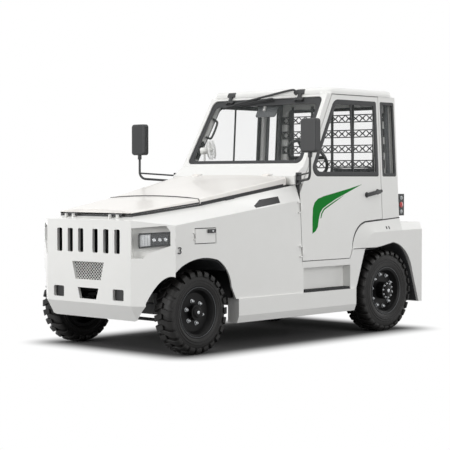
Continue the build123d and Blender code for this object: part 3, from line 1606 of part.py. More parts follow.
# Mirrors: bent tube arms from the cowl corner, and their heads
MIRROR_X = 245
MIRROR_Y = 971
MIRROR_Z = 1662
MIRROR_W = 165
MIRROR_H = 270
MIRROR_T = 55
MIRROR_TUBE_R = 10
ARM_LOW_Z = 1322
ARM_BEND_R = 60
ARM_ROOT_X = 60
ARM_ROOT_Z = 1300
STAY_RISE = 48
STAY_R = 7
BRACKET_L = 64
BRACKET_H = 96
BRACKET_T = 8
MIRROR_EDGE_R = 18
with BuildPart() as mirror_head:
    with Locations((MIRROR_X, MIRROR_Y, MIRROR_Z)):
        Box(MIRROR_T, MIRROR_W, MIRROR_H)
    fillet(mirror_head.edges().filter_by(Axis.X), MIRROR_T / 2)
    fillet(mirror_head.faces().sort_by(Axis.X)[-1].edges(), MIRROR_EDGE_R)

with BuildPart() as mirrors:
    with BuildLine():
        FilletPolyline(
            (ARM_ROOT_X, COWL_HALF, ARM_ROOT_Z),
            (MIRROR_X, MIRROR_Y, ARM_LOW_Z),
            (MIRROR_X, MIRROR_Y, MIRROR_Z - MIRROR_H / 2),
            radius=ARM_BEND_R,
        )
    arm_start = Plane(
        origin=(ARM_ROOT_X, COWL_HALF, ARM_ROOT_Z),
        z_dir=(MIRROR_X - ARM_ROOT_X, MIRROR_Y - COWL_HALF, ARM_LOW_Z - ARM_ROOT_Z),
    )
    with BuildSketch(arm_start):
        Circle(MIRROR_TUBE_R)
    sweep()
    stay_run = (MIRROR_X - ARM_ROOT_X, MIRROR_Y - COWL_HALF, ARM_LOW_Z - ARM_ROOT_Z)
    stay_start = (ARM_ROOT_X, COWL_HALF, ARM_ROOT_Z + STAY_RISE)
    with BuildSketch(Plane(origin=stay_start, z_dir=stay_run)):
        Circle(STAY_R)
    extrude(amount=math.hypot(*stay_run))
    with Locations((ARM_ROOT_X, COWL_HALF, ARM_ROOT_Z + STAY_RISE / 2)):
        Box(BRACKET_L, BRACKET_T, BRACKET_H, align=(Align.CENTER, Align.MIN, Align.CENTER))
    add(cowl.part, mode=Mode.SUBTRACT)
    add(mirror_head.part)
    mirror(about=Plane.XZ)
save(mirrors.part, "mirrors")

# Wiper: motor boss on the roof edge, arm and blade parked along the screen's head
WIPER_Y = 277
WIPER_DROP = 31
WIPER_BOSS_R = 26
WIPER_BOSS_H = 20
ARM_END_Y = -316
ARM_END_DROP = 115
WIPER_ARM_W = 16
WIPER_ARM_T = 10
BLADE_Y = (-432, 147)
BLADE_DROP = (133, 63)
BLADE_W = 22
BLADE_LIFT = 1
wiper_v = screen_h - WIPER_DROP
arm_end_v = screen_h - ARM_END_DROP
blade_a = (BLADE_Y[0], screen_h - BLADE_DROP[0])
blade_b = (BLADE_Y[1], screen_h - BLADE_DROP[1])
arm_mid = ((WIPER_Y + ARM_END_Y) / 2, (wiper_v + arm_end_v) / 2)
arm_len = math.hypot(WIPER_Y - ARM_END_Y, wiper_v - arm_end_v)
arm_turn = math.degrees(math.atan2(wiper_v - arm_end_v, WIPER_Y - ARM_END_Y))
blade_mid = ((blade_a[0] + blade_b[0]) / 2, (blade_a[1] + blade_b[1]) / 2)
blade_len = math.hypot(blade_b[0] - blade_a[0], blade_b[1] - blade_a[1])
blade_turn = math.degrees(math.atan2(blade_b[1] - blade_a[1], blade_b[0] - blade_a[0]))
with BuildPart() as wiper:
    with BuildSketch(SCREEN):
        with Locations((WIPER_Y, wiper_v)):
            Circle(WIPER_BOSS_R)
    extrude(amount=WIPER_BOSS_H)
    with BuildSketch(SCREEN.offset(WIPER_BOSS_H - WIPER_ARM_T)):
        with Locations(arm_mid):
            Rectangle(arm_len, WIPER_ARM_W, rotation=arm_turn)
    extrude(amount=WIPER_ARM_T)
    with BuildSketch(SCREEN.offset(BLADE_LIFT - PANE_DEPTH)):
        with Locations(blade_mid):
            Rectangle(blade_len, BLADE_W, rotation=blade_turn)
    extrude(amount=PANE_DEPTH - BLADE_LIFT + WIPER_BOSS_H - WIPER_ARM_T)
save(wiper.part, "wiper")
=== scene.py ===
"""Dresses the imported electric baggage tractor: finishes, seals, lamps, cab fittings and wheel hardware."""

from __future__ import annotations

import json
import logging
import math
from collections.abc import Sequence
from dataclasses import dataclass
from enum import Enum

import bpy
from mathutils import Matrix, Vector

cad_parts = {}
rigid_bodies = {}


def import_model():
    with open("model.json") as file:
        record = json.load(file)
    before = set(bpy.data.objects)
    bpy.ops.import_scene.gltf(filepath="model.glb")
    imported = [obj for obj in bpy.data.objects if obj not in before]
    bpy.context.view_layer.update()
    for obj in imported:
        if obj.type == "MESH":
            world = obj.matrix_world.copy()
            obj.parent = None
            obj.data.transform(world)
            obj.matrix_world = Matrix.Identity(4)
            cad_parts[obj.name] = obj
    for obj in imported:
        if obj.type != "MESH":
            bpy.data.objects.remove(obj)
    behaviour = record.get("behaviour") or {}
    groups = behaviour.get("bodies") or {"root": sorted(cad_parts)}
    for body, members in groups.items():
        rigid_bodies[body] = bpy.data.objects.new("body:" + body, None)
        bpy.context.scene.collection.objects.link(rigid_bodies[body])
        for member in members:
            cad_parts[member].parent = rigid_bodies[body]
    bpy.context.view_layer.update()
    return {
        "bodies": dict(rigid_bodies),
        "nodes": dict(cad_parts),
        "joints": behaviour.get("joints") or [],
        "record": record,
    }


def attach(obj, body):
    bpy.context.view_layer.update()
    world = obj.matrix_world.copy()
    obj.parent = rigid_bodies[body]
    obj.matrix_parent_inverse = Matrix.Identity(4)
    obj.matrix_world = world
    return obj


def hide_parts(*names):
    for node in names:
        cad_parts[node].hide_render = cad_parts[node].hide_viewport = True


LOG = logging.getLogger("tractor")
MM = 0.001
Point2 = tuple[float, float]
Point3 = tuple[float, float, float]

# Body planes of the part, in millimetres and radians
LEAN = math.radians(3.05)
RAKE = math.radians(29.5)
CAB_SIDE_ORIGIN: Point3 = (0.0, 735.0, 657.0)
SCREEN_ORIGIN: Point3 = (-9.0, 0.0, 1425.0)
SCREEN_HEAD_Z = 2030.0
SCREEN_HEIGHT = (SCREEN_HEAD_Z - SCREEN_ORIGIN[2]) / math.cos(RAKE)
SCREEN_FOOT_HALF = 694.0
SCREEN_TOP_HALF = CAB_SIDE_ORIGIN[1] - (SCREEN_HEAD_Z - CAB_SIDE_ORIGIN[2]) * math.tan(LEAN)
CHAMFER_START: Point2 = (1708.0, 475.0)
CHAMFER_RUN = Vector((-196, 272, 0)).normalized()
PANE_DEPTH = 12.0
CAB_REAR_X = -1280.0
X_AXIS = Vector((1, 0, 0))
Y_AXIS = Vector((0, 1, 0))
Z_AXIS = Vector((0, 0, 1))

# Places of meshes that are made in the part frame, in millimetres or in metres
WORLD = Matrix.Scale(MM, 4)
IN_PLACE = Matrix.Identity(4)


class Body(str, Enum):
    """The bodies that dressed pieces ride on."""

    CHASSIS = "chassis"
    HOOD = "hood"
    LID = "front_lid"
    FLAP = "charge_flap"
    DOOR_LEFT = "door_left"
    DOOR_RIGHT = "door_right"


class Slot(str, Enum):
    """The record's material slots."""

    WHITE = "white_paint"
    BLACK = "black_paint"
    TYRE = "tyre"
    STEEL = "steel"
    GLASS = "glass"
    PLASTIC = "black_plastic"
    LAMP = "lamp"
    SEAT = "seat_cover"


class Side(Enum):
    """Left or right of the vehicle, as the sign of Y."""

    LEFT = 1
    RIGHT = -1

    @property
    def word(self) -> str:
        """Name used in piece and body names."""
        return self.name.lower()

    @property
    def door(self) -> Body:
        """Body of this side's door."""
        return Body.DOOR_LEFT if self is Side.LEFT else Body.DOOR_RIGHT


def linear(code: str) -> tuple[float, float, float, float]:
    """Turn an sRGB hex colour into linear light.

    Args:
        code: Colour as #RRGGBB.

    Returns:
        Linear red, green, blue and an alpha of one.
    """
    parts = [int(code[i : i + 2], 16) / 255 for i in (1, 3, 5)]
    light = [c / 12.92 if c <= 0.04045 else ((c + 0.055) / 1.055) ** 2.4 for c in parts]
    return (light[0], light[1], light[2], 1.0)


def add_node(tree: bpy.types.NodeTree, kind: str, links: dict | None = None, **settings) -> bpy.types.Node:
    """Add one shader node with its settings and links.

    Args:
        tree: Node tree to add to.
        kind: Blender's node type name.
        links: Input socket name or index to the output socket that feeds it.
        settings: Node properties, or input values where the name starts with in_.

    Returns:
        The new node.
    """
    node = tree.nodes.new(kind)
    for key, value in settings.items():
        if key.startswith("in_"):
            node.inputs[key[3:].replace("_", " ")].default_value = value
        else:
            setattr(node, key, value)
    for key, source in (links or {}).items():
        tree.links.new(source, node.inputs[key])
    return node


@dataclass(frozen=True)
class Finish:
    """A surface finish: colour and gloss that vary in soft clouds, and the relief of its grain.

    cloud, grain and ribs are sizes of the pattern in millimetres, and bump is its depth.
    """

    name: str
    colour: str
    tint: str
    roughness: float
    metallic: float = 0.0
    coat: float = 0.0
    coat_roughness: float = 0.05
    sheen: float = 0.0
    cloud: float = 180.0
    grain: float = 2.0
    bump: float = 0.05
    spread: float = 0.08
    alpha: float = 1.0
    specular: float = 0.5
    cells: bool = False
    ribs: float = 0.0

    def material(self) -> bpy.types.Material:
        """Return this finish's material, made on first use."""
        found = bpy.data.materials.get(self.name)
        if found:
            return found
        made = bpy.data.materials.new(self.name)
        made.use_nodes = True
        tree = made.node_tree
        tree.nodes.clear()
        place = {"Vector": add_node(tree, "ShaderNodeTexCoord").outputs["Object"]}
        cloud = add_node(tree, "ShaderNodeTexNoise", place, in_Scale=1000 / self.cloud, in_Detail=3.0)
        patch = cloud.outputs["Fac"]
        mix = add_node(tree, "ShaderNodeMix", {"Factor": patch}, data_type="RGBA")
        mix.inputs[6].default_value = linear(self.colour)
        mix.inputs[7].default_value = linear(self.tint)
        rough = add_node(tree, "ShaderNodeMapRange", {"Value": patch})
        rough.inputs["To Min"].default_value = self.roughness * (1 - self.spread)
        rough.inputs["To Max"].default_value = self.roughness * (1 + self.spread)
        relief = {"Height": self.height(tree, place)}
        bump = add_node(tree, "ShaderNodeBump", relief, in_Distance=self.bump * MM)
        links = {
            "Base Color": mix.outputs[2],
            "Roughness": rough.outputs["Result"],
            "Normal": bump.outputs["Normal"],
        }
        shader = add_node(
            tree,
            "ShaderNodeBsdfPrincipled",
            links,
            in_Metallic=self.metallic,
            in_Coat_Weight=self.coat,
            in_Coat_Roughness=self.coat_roughness,
            in_Sheen_Weight=self.sheen,
            in_Specular_IOR_Level=self.specular,
            in_Alpha=self.alpha,
        )
        add_node(tree, "ShaderNodeOutputMaterial", {"Surface": shader.outputs["BSDF"]})
        return made

    def height(self, tree: bpy.types.NodeTree, place: dict) -> bpy.types.NodeSocket:
        """Relief of the surface: moulded ribs, leather cells or plain grain.

        Args:
            tree: Material's node tree.
            place: Link from the object coordinates.

        Returns:
            Socket that gives the height.
        """
        if self.ribs:
            # The wave node's bands lie pi / 10 metres apart at a scale of one
            scale = math.pi * 100 / self.ribs
            wave = add_node(tree, "ShaderNodeTexWave", place, bands_direction="X", in_Scale=scale)
            return wave.outputs["Fac"]
        scale = 1000 / self.grain
        if self.cells:
            cell = add_node(tree, "ShaderNodeTexVoronoi", place, feature="DISTANCE_TO_EDGE", in_Scale=scale)
            return cell.outputs["Distance"]
        noise = add_node(tree, "ShaderNodeTexNoise", place, in_Scale=scale, in_Detail=2.0)
        return noise.outputs["Fac"]


# Sprayed two-coat enamel: bright, with a faint orange peel under the gloss
WHITE_ENAMEL = Finish("white_enamel", "#EEEEEC", "#E9E9E6", 0.3, coat=0.35, grain=9, bump=0.02)
# The lids' enamel: a little warmer and less glossy
HOOD_ENAMEL = Finish("hood_enamel", "#F0EDE9", "#EAE7E2", 0.36, coat=0.22, grain=9, bump=0.02)
# Powder coat on axles, frame and guard: black, satin, with a fine pebble
BLACK_POWDER = Finish("black_powder_coat", "#101011", "#18181A", 0.42, grain=1.6, bump=0.12)
# Sprayed enamel of the rims: a deeper black with less shine than the frame's powder coat
RIM_ENAMEL = Finish("rim_enamel", "#060606", "#0B0B0C", 0.42, specular=0.16, grain=3, bump=0.05)
# Carbon-black tyre compound: dull, dusty in patches
TYRE_RUBBER = Finish("tyre_rubber", "#0D0C0C", "#181716", 0.5, specular=0.28, grain=2.4, bump=0.3, cloud=60)
# Extruded seal rubber round the panes, also laid in the gaps round the lids, doors and fenders as painted
# shade: softer and greyer than the tyres
SEAL_RUBBER_AND_GAP_SHADE = Finish("seal_rubber", "#222324", "#2C2D2F", 0.6, grain=1.2, bump=0.06)
# Moulded polypropylene of mirrors and lamp housings: grained, low gloss
BLACK_PLASTIC = Finish("moulded_black_plastic", "#232425", "#2D2E2F", 0.5, grain=1.0, bump=0.08)
# The same moulding in mid grey, for dash and linings, and for plates that paint the shade on the rear cab
# posts' inner faces
GREY_PLASTIC_AND_SHADE = Finish("moulded_grey_plastic", "#4E5052", "#5A5C5E", 0.55, grain=1.2, bump=0.08)
# Felted roof lining: pale grey, quite matt, with a soft edge glow
LINING_GREY = Finish("roof_lining", "#8A8C8D", "#939596", 0.8, grain=2.0, bump=0.15, sheen=0.1)
# Off-white moulded plastic of the fan and cab lamp: smooth, half gloss
PALE_PLASTIC = Finish("moulded_pale_plastic", "#E4E4E1", "#D9D9D6", 0.4, grain=1.4, bump=0.04)
# Zinc-plated steel of nuts and pins: soft grey shine
ZINC_STEEL = Finish(
    "zinc_plated_steel", "#B9BBBD", "#A4A6A8", 0.32, metallic=1.0, grain=1.2, spread=0.25
)
# Grey ring on the rim edge: painted highlight where the flange catches the light, with a dull metal shine
RIM_EDGE_HIGHLIGHT = Finish(
    "scuffed_rim_edge", "#4A4B4D", "#5E6062", 0.4, metallic=0.7, cloud=40, grain=1.5, bump=0.06
)
# Expanded metal of the nose grille, dipped in white enamel
WIRE_STEEL = Finish("enamelled_mesh", "#E9E9E7", "#DDDDDA", 0.4, grain=1.5, bump=0.08)
# Vacuum-plated reflector: a clean mirror
MIRROR_CHROME = Finish("reflector_chrome", "#DADCDD", "#CFD1D3", 0.08, metallic=1.0, bump=0.01)
# Toughened glass: nearly colourless, a little grey
PANE_GLASS = Finish("toughened_glass", "#9AA19F", "#939B98", 0.03, alpha=0.04, bump=0.005)
# Clear polycarbonate lamp cover: almost unseen but for its shine
CLEAR_LENS = Finish("clear_lens", "#C8CCCE", "#BDC2C4", 0.05, alpha=0.05, bump=0.005)
# Gloss black plastic of lamp masks and the display: a sharp dark shine
SMOKED_LENS = Finish("smoked_lens", "#1B1D1F", "#25282A", 0.1, coat=0.6, bump=0.01)
# Tail lenses: pressed prisms 4 mm across under a smooth outer face, red and clear grey
RED_LENS = Finish("red_lens", "#C2181C", "#A81216", 0.15, coat=0.6, grain=4, bump=0.2, cells=True)
WHITE_LENS = Finish("white_lens", "#A9ADB0", "#8E9396", 0.15, coat=0.6, grain=4, bump=0.2, cells=True)
# Pale paint of the headlamp reflectors: painted reflection in place of their chrome, bright from any side
REFLECTOR_PAINTED_SHINE = Finish("silver_lacquer", "#D5D7D8", "#C2C4C6", 0.35, metallic=0.3, coat=0.4, bump=0.02)
# Cast vinyl film of the livery stripe: an even green with little shine
GREEN_VINYL = Finish("green_vinyl", "#037A25", "#037423", 0.55, specular=0.12, grain=5, bump=0.01)
# Calendered vinyl seat cover: fine cracked leather grain
SEAT_VINYL = Finish("seat_vinyl", "#242528", "#2E2F33", 0.52, sheen=0.15, grain=3.2, bump=0.35, cells=True)
# Rubber floor mat: broad, low waves 120 mm apart, matt
FLOOR_MAT = Finish("floor_mat", "#232425", "#2C2D2E", 0.7, bump=1.2, ribs=120)

NODE_FINISHES: dict[Finish, tuple[str, ...]] = {
    WHITE_ENAMEL: (
        *("nose_shell", "side_panel_left", "side_panel_right", "charge_flap", "skirts", "rear_fenders"),
        *("rear_deck", "cowl", "roof", "cab_sides", "cab_rear_wall", "door_left", "door_right"),
        "windscreen_frame",
    ),
    HOOD_ENAMEL: ("front_lid", "hood"),
    RIM_ENAMEL: ("front_left_rim", "front_right_rim", "rear_left_rim", "rear_right_rim"),
    BLACK_POWDER: (
        *("front_axle", "knuckle_left", "knuckle_right", "tie_rod", "rear_axle", "chassis_frame"),
        *("hitch_jaw", "rear_guard", "battery_block", "vent_plates"),
    ),
    TYRE_RUBBER: ("front_left_tyre", "front_right_tyre", "rear_left_tyre", "rear_right_tyre"),
    PANE_GLASS: ("windscreen", "rear_glazing", "door_glass_left", "door_glass_right"),
    BLACK_PLASTIC: (
        *("mirrors", "wiper", "door_handle_left", "door_handle_right", "steering_wheel"),
        *("steering_column", "tail_lamps", "seat_base", "headlamps"),
    ),
    GREY_PLASTIC_AND_SHADE: ("dashboard",),
    FLOOR_MAT: ("cab_floor",),
    ZINC_STEEL: ("hitch_pin",),
    WIRE_STEEL: ("nose_mesh",),
    SEAT_VINYL: ("seat_cushion", "seat_back"),
}


def basis(origin: Point3, x: Vector, y: Vector, z: Vector) -> Matrix:
    """Matrix that lays local millimetre points in the part frame.

    Args:
        origin: Local origin in millimetres.
        x: Direction of local x.
        y: Direction of local y.
        z: Direction of local z.

    Returns:
        Matrix from local millimetres to metres in the part frame.
    """
    place = Matrix((x, y, z)).transposed().to_4x4()
    place.translation = Vector(origin)
    return WORLD @ place


def facing(origin: Point3, outward: Point3) -> Matrix:
    """Plane through a point with local z along a direction and local x level.

    Args:
        origin: Local origin in millimetres.
        outward: Direction of local z.

    Returns:
        Placing matrix.
    """
    z = Vector(outward).normalized()
    x = Z_AXIS.cross(z).normalized()
    return basis(origin, x, z.cross(x), z)


def cab_side(side: Side, out: float = 0.0) -> Matrix:
    """Plane of a cab side: local x forward, y up the lean, z outwards.

    Args:
        side: Left or right.
        out: Distance outwards from the door's face.

    Returns:
        Placing matrix.
    """
    s = side.value
    outward = Vector((0, s * math.cos(LEAN), math.sin(LEAN)))
    up = Vector((0, -s * math.sin(LEAN), math.cos(LEAN)))
    origin = Vector((CAB_SIDE_ORIGIN[0], s * CAB_SIDE_ORIGIN[1], CAB_SIDE_ORIGIN[2])) + out * outward
    return basis(tuple(origin), X_AXIS, up, outward)


def screen(out: float = 0.0) -> Matrix:
    """Plane of the windscreen: local x to the left, y up the rake, z outwards.

    Args:
        out: Distance outwards from the screen's plane.

    Returns:
        Placing matrix.
    """
    outward = Vector((math.cos(RAKE), 0, math.sin(RAKE)))
    up = Vector((-math.sin(RAKE), 0, math.cos(RAKE)))
    return basis(tuple(Vector(SCREEN_ORIGIN) + out * outward), Y_AXIS, up, outward)


def on_screen(y: float, up: float, out: float) -> Point3:
    """Point in the part frame from windscreen coordinates in millimetres."""
    return tuple(screen(out) @ Vector((y, up, 0)) / MM)


def chamfer(side: Side, out: float = 0.0) -> Matrix:
    """Plane of a nose corner: local x along the corner, y up, z outwards.

    Args:
        side: Left or right.
        out: Distance outwards from the corner's face.

    Returns:
        Placing matrix.
    """
    s = side.value
    run = Vector((CHAMFER_RUN.x, s * CHAMFER_RUN.y, 0))
    outward = Vector((CHAMFER_RUN.y, -s * CHAMFER_RUN.x, 0))
    start = Vector((CHAMFER_START[0], s * CHAMFER_START[1], 0)) + out * outward
    return basis(tuple(start), run, Z_AXIS, outward)


def facing_back(x: float) -> Matrix:
    """Plane at X = x that faces rearwards: local x to the right, y up, z rearwards."""
    return basis((x, 0, 0), -Y_AXIS, Z_AXIS, -X_AXIS)


def facing_front(x: float) -> Matrix:
    """Plane at X = x that faces forwards: local x to the left, y up, z forwards."""
    return basis((x, 0, 0), Y_AXIS, Z_AXIS, X_AXIS)


def side_profile(side: Side, y: float) -> Matrix:
    """Upright plane of a side view (x, z) at distance y from the middle, local z outwards."""
    s = side.value
    return basis((0, s * y, 0), X_AXIS, Z_AXIS, s * Y_AXIS)


def on_side(points: Sequence[Point2]) -> list[Point2]:
    """Side view points (x, z) as points of the leaning cab side."""
    return [(x, (z - CAB_SIDE_ORIGIN[2]) / math.cos(LEAN)) for x, z in points]


def inset(points: list[Point2], amounts: float | list[float]) -> list[Point2]:
    """Move the edges of a convex outline inwards.

    Args:
        points: Corners in order.
        amounts: One distance in millimetres, or one for each edge that ends at a corner.

    Returns:
        New corners.
    """
    count = len(points)
    steps = amounts if isinstance(amounts, list) else [amounts] * count
    area = sum(points[i - 1][0] * points[i][1] - points[i][0] * points[i - 1][1] for i in range(count))
    turn = 1 if area > 0 else -1
    lines = []
    for i in range(count):
        a, b = Vector(points[i - 1]), Vector(points[i])
        run = (b - a).normalized()
        lines.append((a + Vector((-run.y, run.x)) * turn * steps[i], run))
    moved = []
    for i in range(count):
        (p, d), (q, e) = lines[i], lines[(i + 1) % count]
        gap = q - p
        t = (gap.x * e.y - gap.y * e.x) / (d.x * e.y - d.y * e.x)
        moved.append(tuple(p + d * t))
    return moved


def beside(path: Sequence[Point2], distance: float) -> list[Point2]:
    """Move the points of an open path sideways.

    Args:
        path: Points in order.
        distance: How far they move to the left of the way along the path.

    Returns:
        Moved points.
    """
    moved = []
    for index, spot in enumerate(path):
        before, after = path[max(index - 1, 0)], path[min(index + 1, len(path) - 1)]
        run = (Vector(after) - Vector(before)).normalized()
        moved.append(tuple(Vector(spot) + Vector((-run.y, run.x)) * distance))
    return moved


def rounded(points: list[Point2], radii: float | list[float], steps: int = 8) -> list[Point2]:
    """Round the corners of an outline.

    Args:
        points: Corners in order.
        radii: One corner radius in millimetres, or one for each corner.
        steps: Segments per corner.

    Returns:
        Points along the rounded outline.
    """
    outline: list[Point2] = []
    count = len(points)
    sizes = radii if isinstance(radii, list) else [radii] * count
    for i in range(count):
        here = Vector(points[i])
        back = (Vector(points[i - 1]) - here).normalized()
        ahead = (Vector(points[(i + 1) % count]) - here).normalized()
        half = back.angle(ahead) / 2
        reach = sizes[i] / math.tan(half)
        centre = here + (back + ahead).normalized() * (sizes[i] / math.sin(half))
        start, end = here + back * reach - centre, here + ahead * reach - centre
        sweep = start.angle_signed(end)
        for n in range(steps + 1):
            angle = -sweep * n / steps
            spin = Matrix.Rotation(angle, 2)
            outline.append(tuple(centre + spin @ start))
    return outline


def box_outline(low: Point2, high: Point2) -> list[Point2]:
    """Corners of an upright rectangle."""
    return [(low[0], low[1]), (high[0], low[1]), (high[0], high[1]), (low[0], high[1])]


class Bench:
    """Modelling operations shared by every sub-assembly."""

    @staticmethod
    def clear() -> None:
        """Leave nothing selected."""
        if bpy.context.object and bpy.context.object.mode != "OBJECT":
            bpy.ops.object.mode_set(mode="OBJECT")
        bpy.ops.object.select_all(action="DESELECT")

    @staticmethod
    def outward() -> None:
        """Merge the active mesh's doubles and turn every face outwards."""
        bpy.ops.object.mode_set(mode="EDIT")
        bpy.ops.mesh.select_all(action="SELECT")
        bpy.ops.mesh.remove_doubles(threshold=1e-6)
        bpy.ops.mesh.normals_make_consistent(inside=False)
        bpy.ops.object.mode_set(mode="OBJECT")

    @staticmethod
    def bake_place(piece: bpy.types.Object, place: Matrix) -> bpy.types.Object:
        """Move an object's own place, and one more, into its mesh.

        Args:
            piece: Object to move.
            place: Matrix that is added to its own.

        Returns:
            The same object, at the origin.
        """
        piece.data.transform(place @ piece.matrix_world)
        piece.matrix_world = IN_PLACE
        return piece

    @staticmethod
    def shift(piece: bpy.types.Object, x: float = 0.0, y: float = 0.0, z: float = 0.0) -> bpy.types.Object:
        """Move a piece's mesh along its local axes, in millimetres."""
        piece.data.transform(Matrix.Translation((x, y, z)))
        return piece

    @classmethod
    def settle(
        cls,
        piece: bpy.types.Object,
        name: str,
        place: Matrix,
        finish: Finish,
        body: str = Body.CHASSIS,
        slot: Slot = Slot.PLASTIC,
        bevel: float = 0.0,
    ) -> bpy.types.Object:
        """Place a modelled piece, finish it and let it ride on its body.

        Args:
            piece: Object modelled in local millimetres.
            name: Piece name.
            place: Matrix from local millimetres to the part frame.
            finish: Surface finish.
            body: Body it rides on.
            slot: Record slot; not used.
            bevel: Edge bevel in millimetres, or none.

        Returns:
            The finished piece.
        """
        cls.clear()
        piece.select_set(True)
        bpy.context.view_layer.objects.active = piece
        piece.name = name
        piece.data.name = name
        cls.bake_place(piece, place)
        cls.outward()
        if bevel:
            edge = piece.modifiers.new("edge", "BEVEL")
            edge.width = bevel * MM
            edge.segments = 2
            edge.limit_method = "ANGLE"
            edge.angle_limit = math.radians(40)
            bpy.ops.object.modifier_apply(modifier=edge.name)
        bpy.ops.object.shade_smooth_by_angle(angle=math.radians(35))
        piece.data.materials.clear()
        piece.data.materials.append(finish.material())
        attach(piece, str(body.value if isinstance(body, Enum) else body))
        LOG.info("%s: %d faces", name, len(piece.data.polygons))
        return piece

    @classmethod
    def plate(cls, points: list[Point2], thickness: float) -> bpy.types.Object:
        """Flat plate in local x and y, extruded along local z.

        Args:
            points: Outline in millimetres.
            thickness: Height of the extrusion.

        Returns:
            The new object.
        """
        cls.clear()
        bpy.ops.mesh.primitive_circle_add(vertices=len(points), radius=1, fill_type="NGON")
        piece = bpy.context.object
        for vertex, point in zip(piece.data.vertices, points):
            vertex.co = (point[0], point[1], 0)
        bpy.ops.object.mode_set(mode="EDIT")
        bpy.ops.mesh.select_all(action="SELECT")
        bpy.ops.mesh.extrude_region_move(TRANSFORM_OT_translate={"value": (0, 0, thickness)})
        bpy.ops.object.mode_set(mode="OBJECT")
        return piece

    @classmethod
    def band(cls, path: Sequence[Point2], width: float, height: float) -> bpy.types.Object:
        """Band along an open path in local x and y, extruded along local z.

        Args:
            path: Points along one edge in millimetres.
            width: How far the band reaches to the left of the path.
            height: Height of the extrusion.

        Returns:
            The new object.
        """
        return cls.plate([*path, *reversed(beside(path, width))], height)

    @classmethod
    def ring(cls, outer: list[Point2], inner: list[Point2], thickness: float) -> bpy.types.Object:
        """Flat frame between two outlines of equal length, extruded along local z.

        Args:
            outer: Outer outline in millimetres.
            inner: Inner outline with as many points.
            thickness: Height of the extrusion.

        Returns:
            The new object.
        """
        cls.clear()
        count = len(outer)
        bpy.ops.mesh.primitive_circle_add(vertices=count, radius=2, fill_type="NOTHING")
        piece = bpy.context.object
        bpy.ops.object.mode_set(mode="EDIT")
        bpy.ops.mesh.primitive_circle_add(vertices=count, radius=1, fill_type="NOTHING")
        bpy.ops.mesh.select_all(action="SELECT")
        bpy.ops.mesh.bridge_edge_loops()
        bpy.ops.object.mode_set(mode="OBJECT")
        for vertex, point in zip(piece.data.vertices, outer + inner):
            vertex.co = (point[0], point[1], 0)
        bpy.ops.object.mode_set(mode="EDIT")
        bpy.ops.mesh.select_all(action="SELECT")
        bpy.ops.mesh.extrude_region_move(TRANSFORM_OT_translate={"value": (0, 0, thickness)})
        bpy.ops.object.mode_set(mode="OBJECT")
        return piece

    @classmethod
    def lathe(cls, profile: list[Point2], steps: int = 48) -> bpy.types.Object:
        """Turn a closed profile of (radius, height) points round local z.

        Args:
            profile: Points in order round the section, in millimetres.
            steps: Segments round the axis.

        Returns:
            The new object.
        """
        cls.clear()
        bpy.ops.mesh.primitive_circle_add(vertices=len(profile), radius=1, fill_type="NOTHING")
        piece = bpy.context.object
        for vertex, (radius, height) in zip(piece.data.vertices, profile):
            vertex.co = (radius, 0, height)
        bpy.ops.object.mode_set(mode="EDIT")
        bpy.ops.mesh.select_all(action="SELECT")
        bpy.ops.mesh.spin(steps=steps, angle=2 * math.pi, center=(0, 0, 0), axis=(0, 0, 1))
        bpy.ops.mesh.select_all(action="SELECT")
        bpy.ops.mesh.remove_doubles(threshold=1e-3)
        bpy.ops.mesh.dissolve_degenerate(threshold=1e-3)
        bpy.ops.object.mode_set(mode="OBJECT")
        return piece

    @classmethod
    def rod(
        cls, path: list[Point3], radius: float, closed: bool = False, smooth: bool = True
    ) -> bpy.types.Object:
        """Round rod along points in the part frame.

        Args:
            path: Points in millimetres.
            radius: Rod radius in millimetres.
            closed: Whether the rod runs back to its start.
            smooth: Whether corners are drawn as a smooth curve.

        Returns:
            The new object, in local millimetres.
        """
        cls.clear()
        curve = bpy.data.curves.new("rod", "CURVE")
        curve.dimensions = "3D"
        curve.bevel_depth = radius
        curve.bevel_resolution = 3
        curve.use_fill_caps = True
        curve.resolution_u = 6
        spline = curve.splines.new("NURBS" if smooth else "POLY")
        spline.points.add(len(path) - 1)
        for knot, point in zip(spline.points, path):
            knot.co = (*point, 1)
        spline.use_cyclic_u = closed
        if smooth:
            spline.order_u = 3
            spline.use_endpoint_u = not closed
        piece = bpy.data.objects.new("rod", curve)
        bpy.context.scene.collection.objects.link(piece)
        piece.select_set(True)
        bpy.context.view_layer.objects.active = piece
        bpy.ops.object.convert(target="MESH")
        return bpy.context.object

    @classmethod
    def block(cls, low: Point3, high: Point3, taper: float = 0.0) -> bpy.types.Object:
        """Block between two corners, its top face drawn in by taper.

        Args:
            low: Lowest corner in millimetres.
            high: Highest corner in millimetres.
            taper: How far the top face draws in on each side.

        Returns:
            The new object.
        """
        rise = high[2] - low[2]
        piece = cls.plate(box_outline((low[0], low[1]), (high[0], high[1])), rise)
        for vertex in piece.data.vertices:
            if vertex.co.z > rise / 2:
                vertex.co.x += taper if vertex.co.x < (low[0] + high[0]) / 2 else -taper
                vertex.co.y += taper if vertex.co.y < (low[1] + high[1]) / 2 else -taper
            vertex.co.z += low[2]
        return piece

    @classmethod
    def loft(cls, sections: list[list[Point3]]) -> bpy.types.Object:
        """Closed bar through sections of equal count, its ends capped.

        Args:
            sections: Corners of each section in millimetres, in order along the bar.

        Returns:
            The new object.
        """
        cls.clear()
        around = len(sections[0])
        bpy.ops.mesh.primitive_grid_add(x_subdivisions=around, y_subdivisions=len(sections) - 1, size=2)
        piece = bpy.context.object
        spots = [point for section in sections for point in (*section, section[0])]
        for vertex, spot in zip(piece.data.vertices, spots):
            vertex.co = spot
        bpy.ops.object.mode_set(mode="EDIT")
        bpy.ops.mesh.select_all(action="SELECT")
        bpy.ops.mesh.remove_doubles(threshold=1e-3)
        bpy.ops.mesh.fill_holes(sides=around)
        bpy.ops.object.mode_set(mode="OBJECT")
        return piece

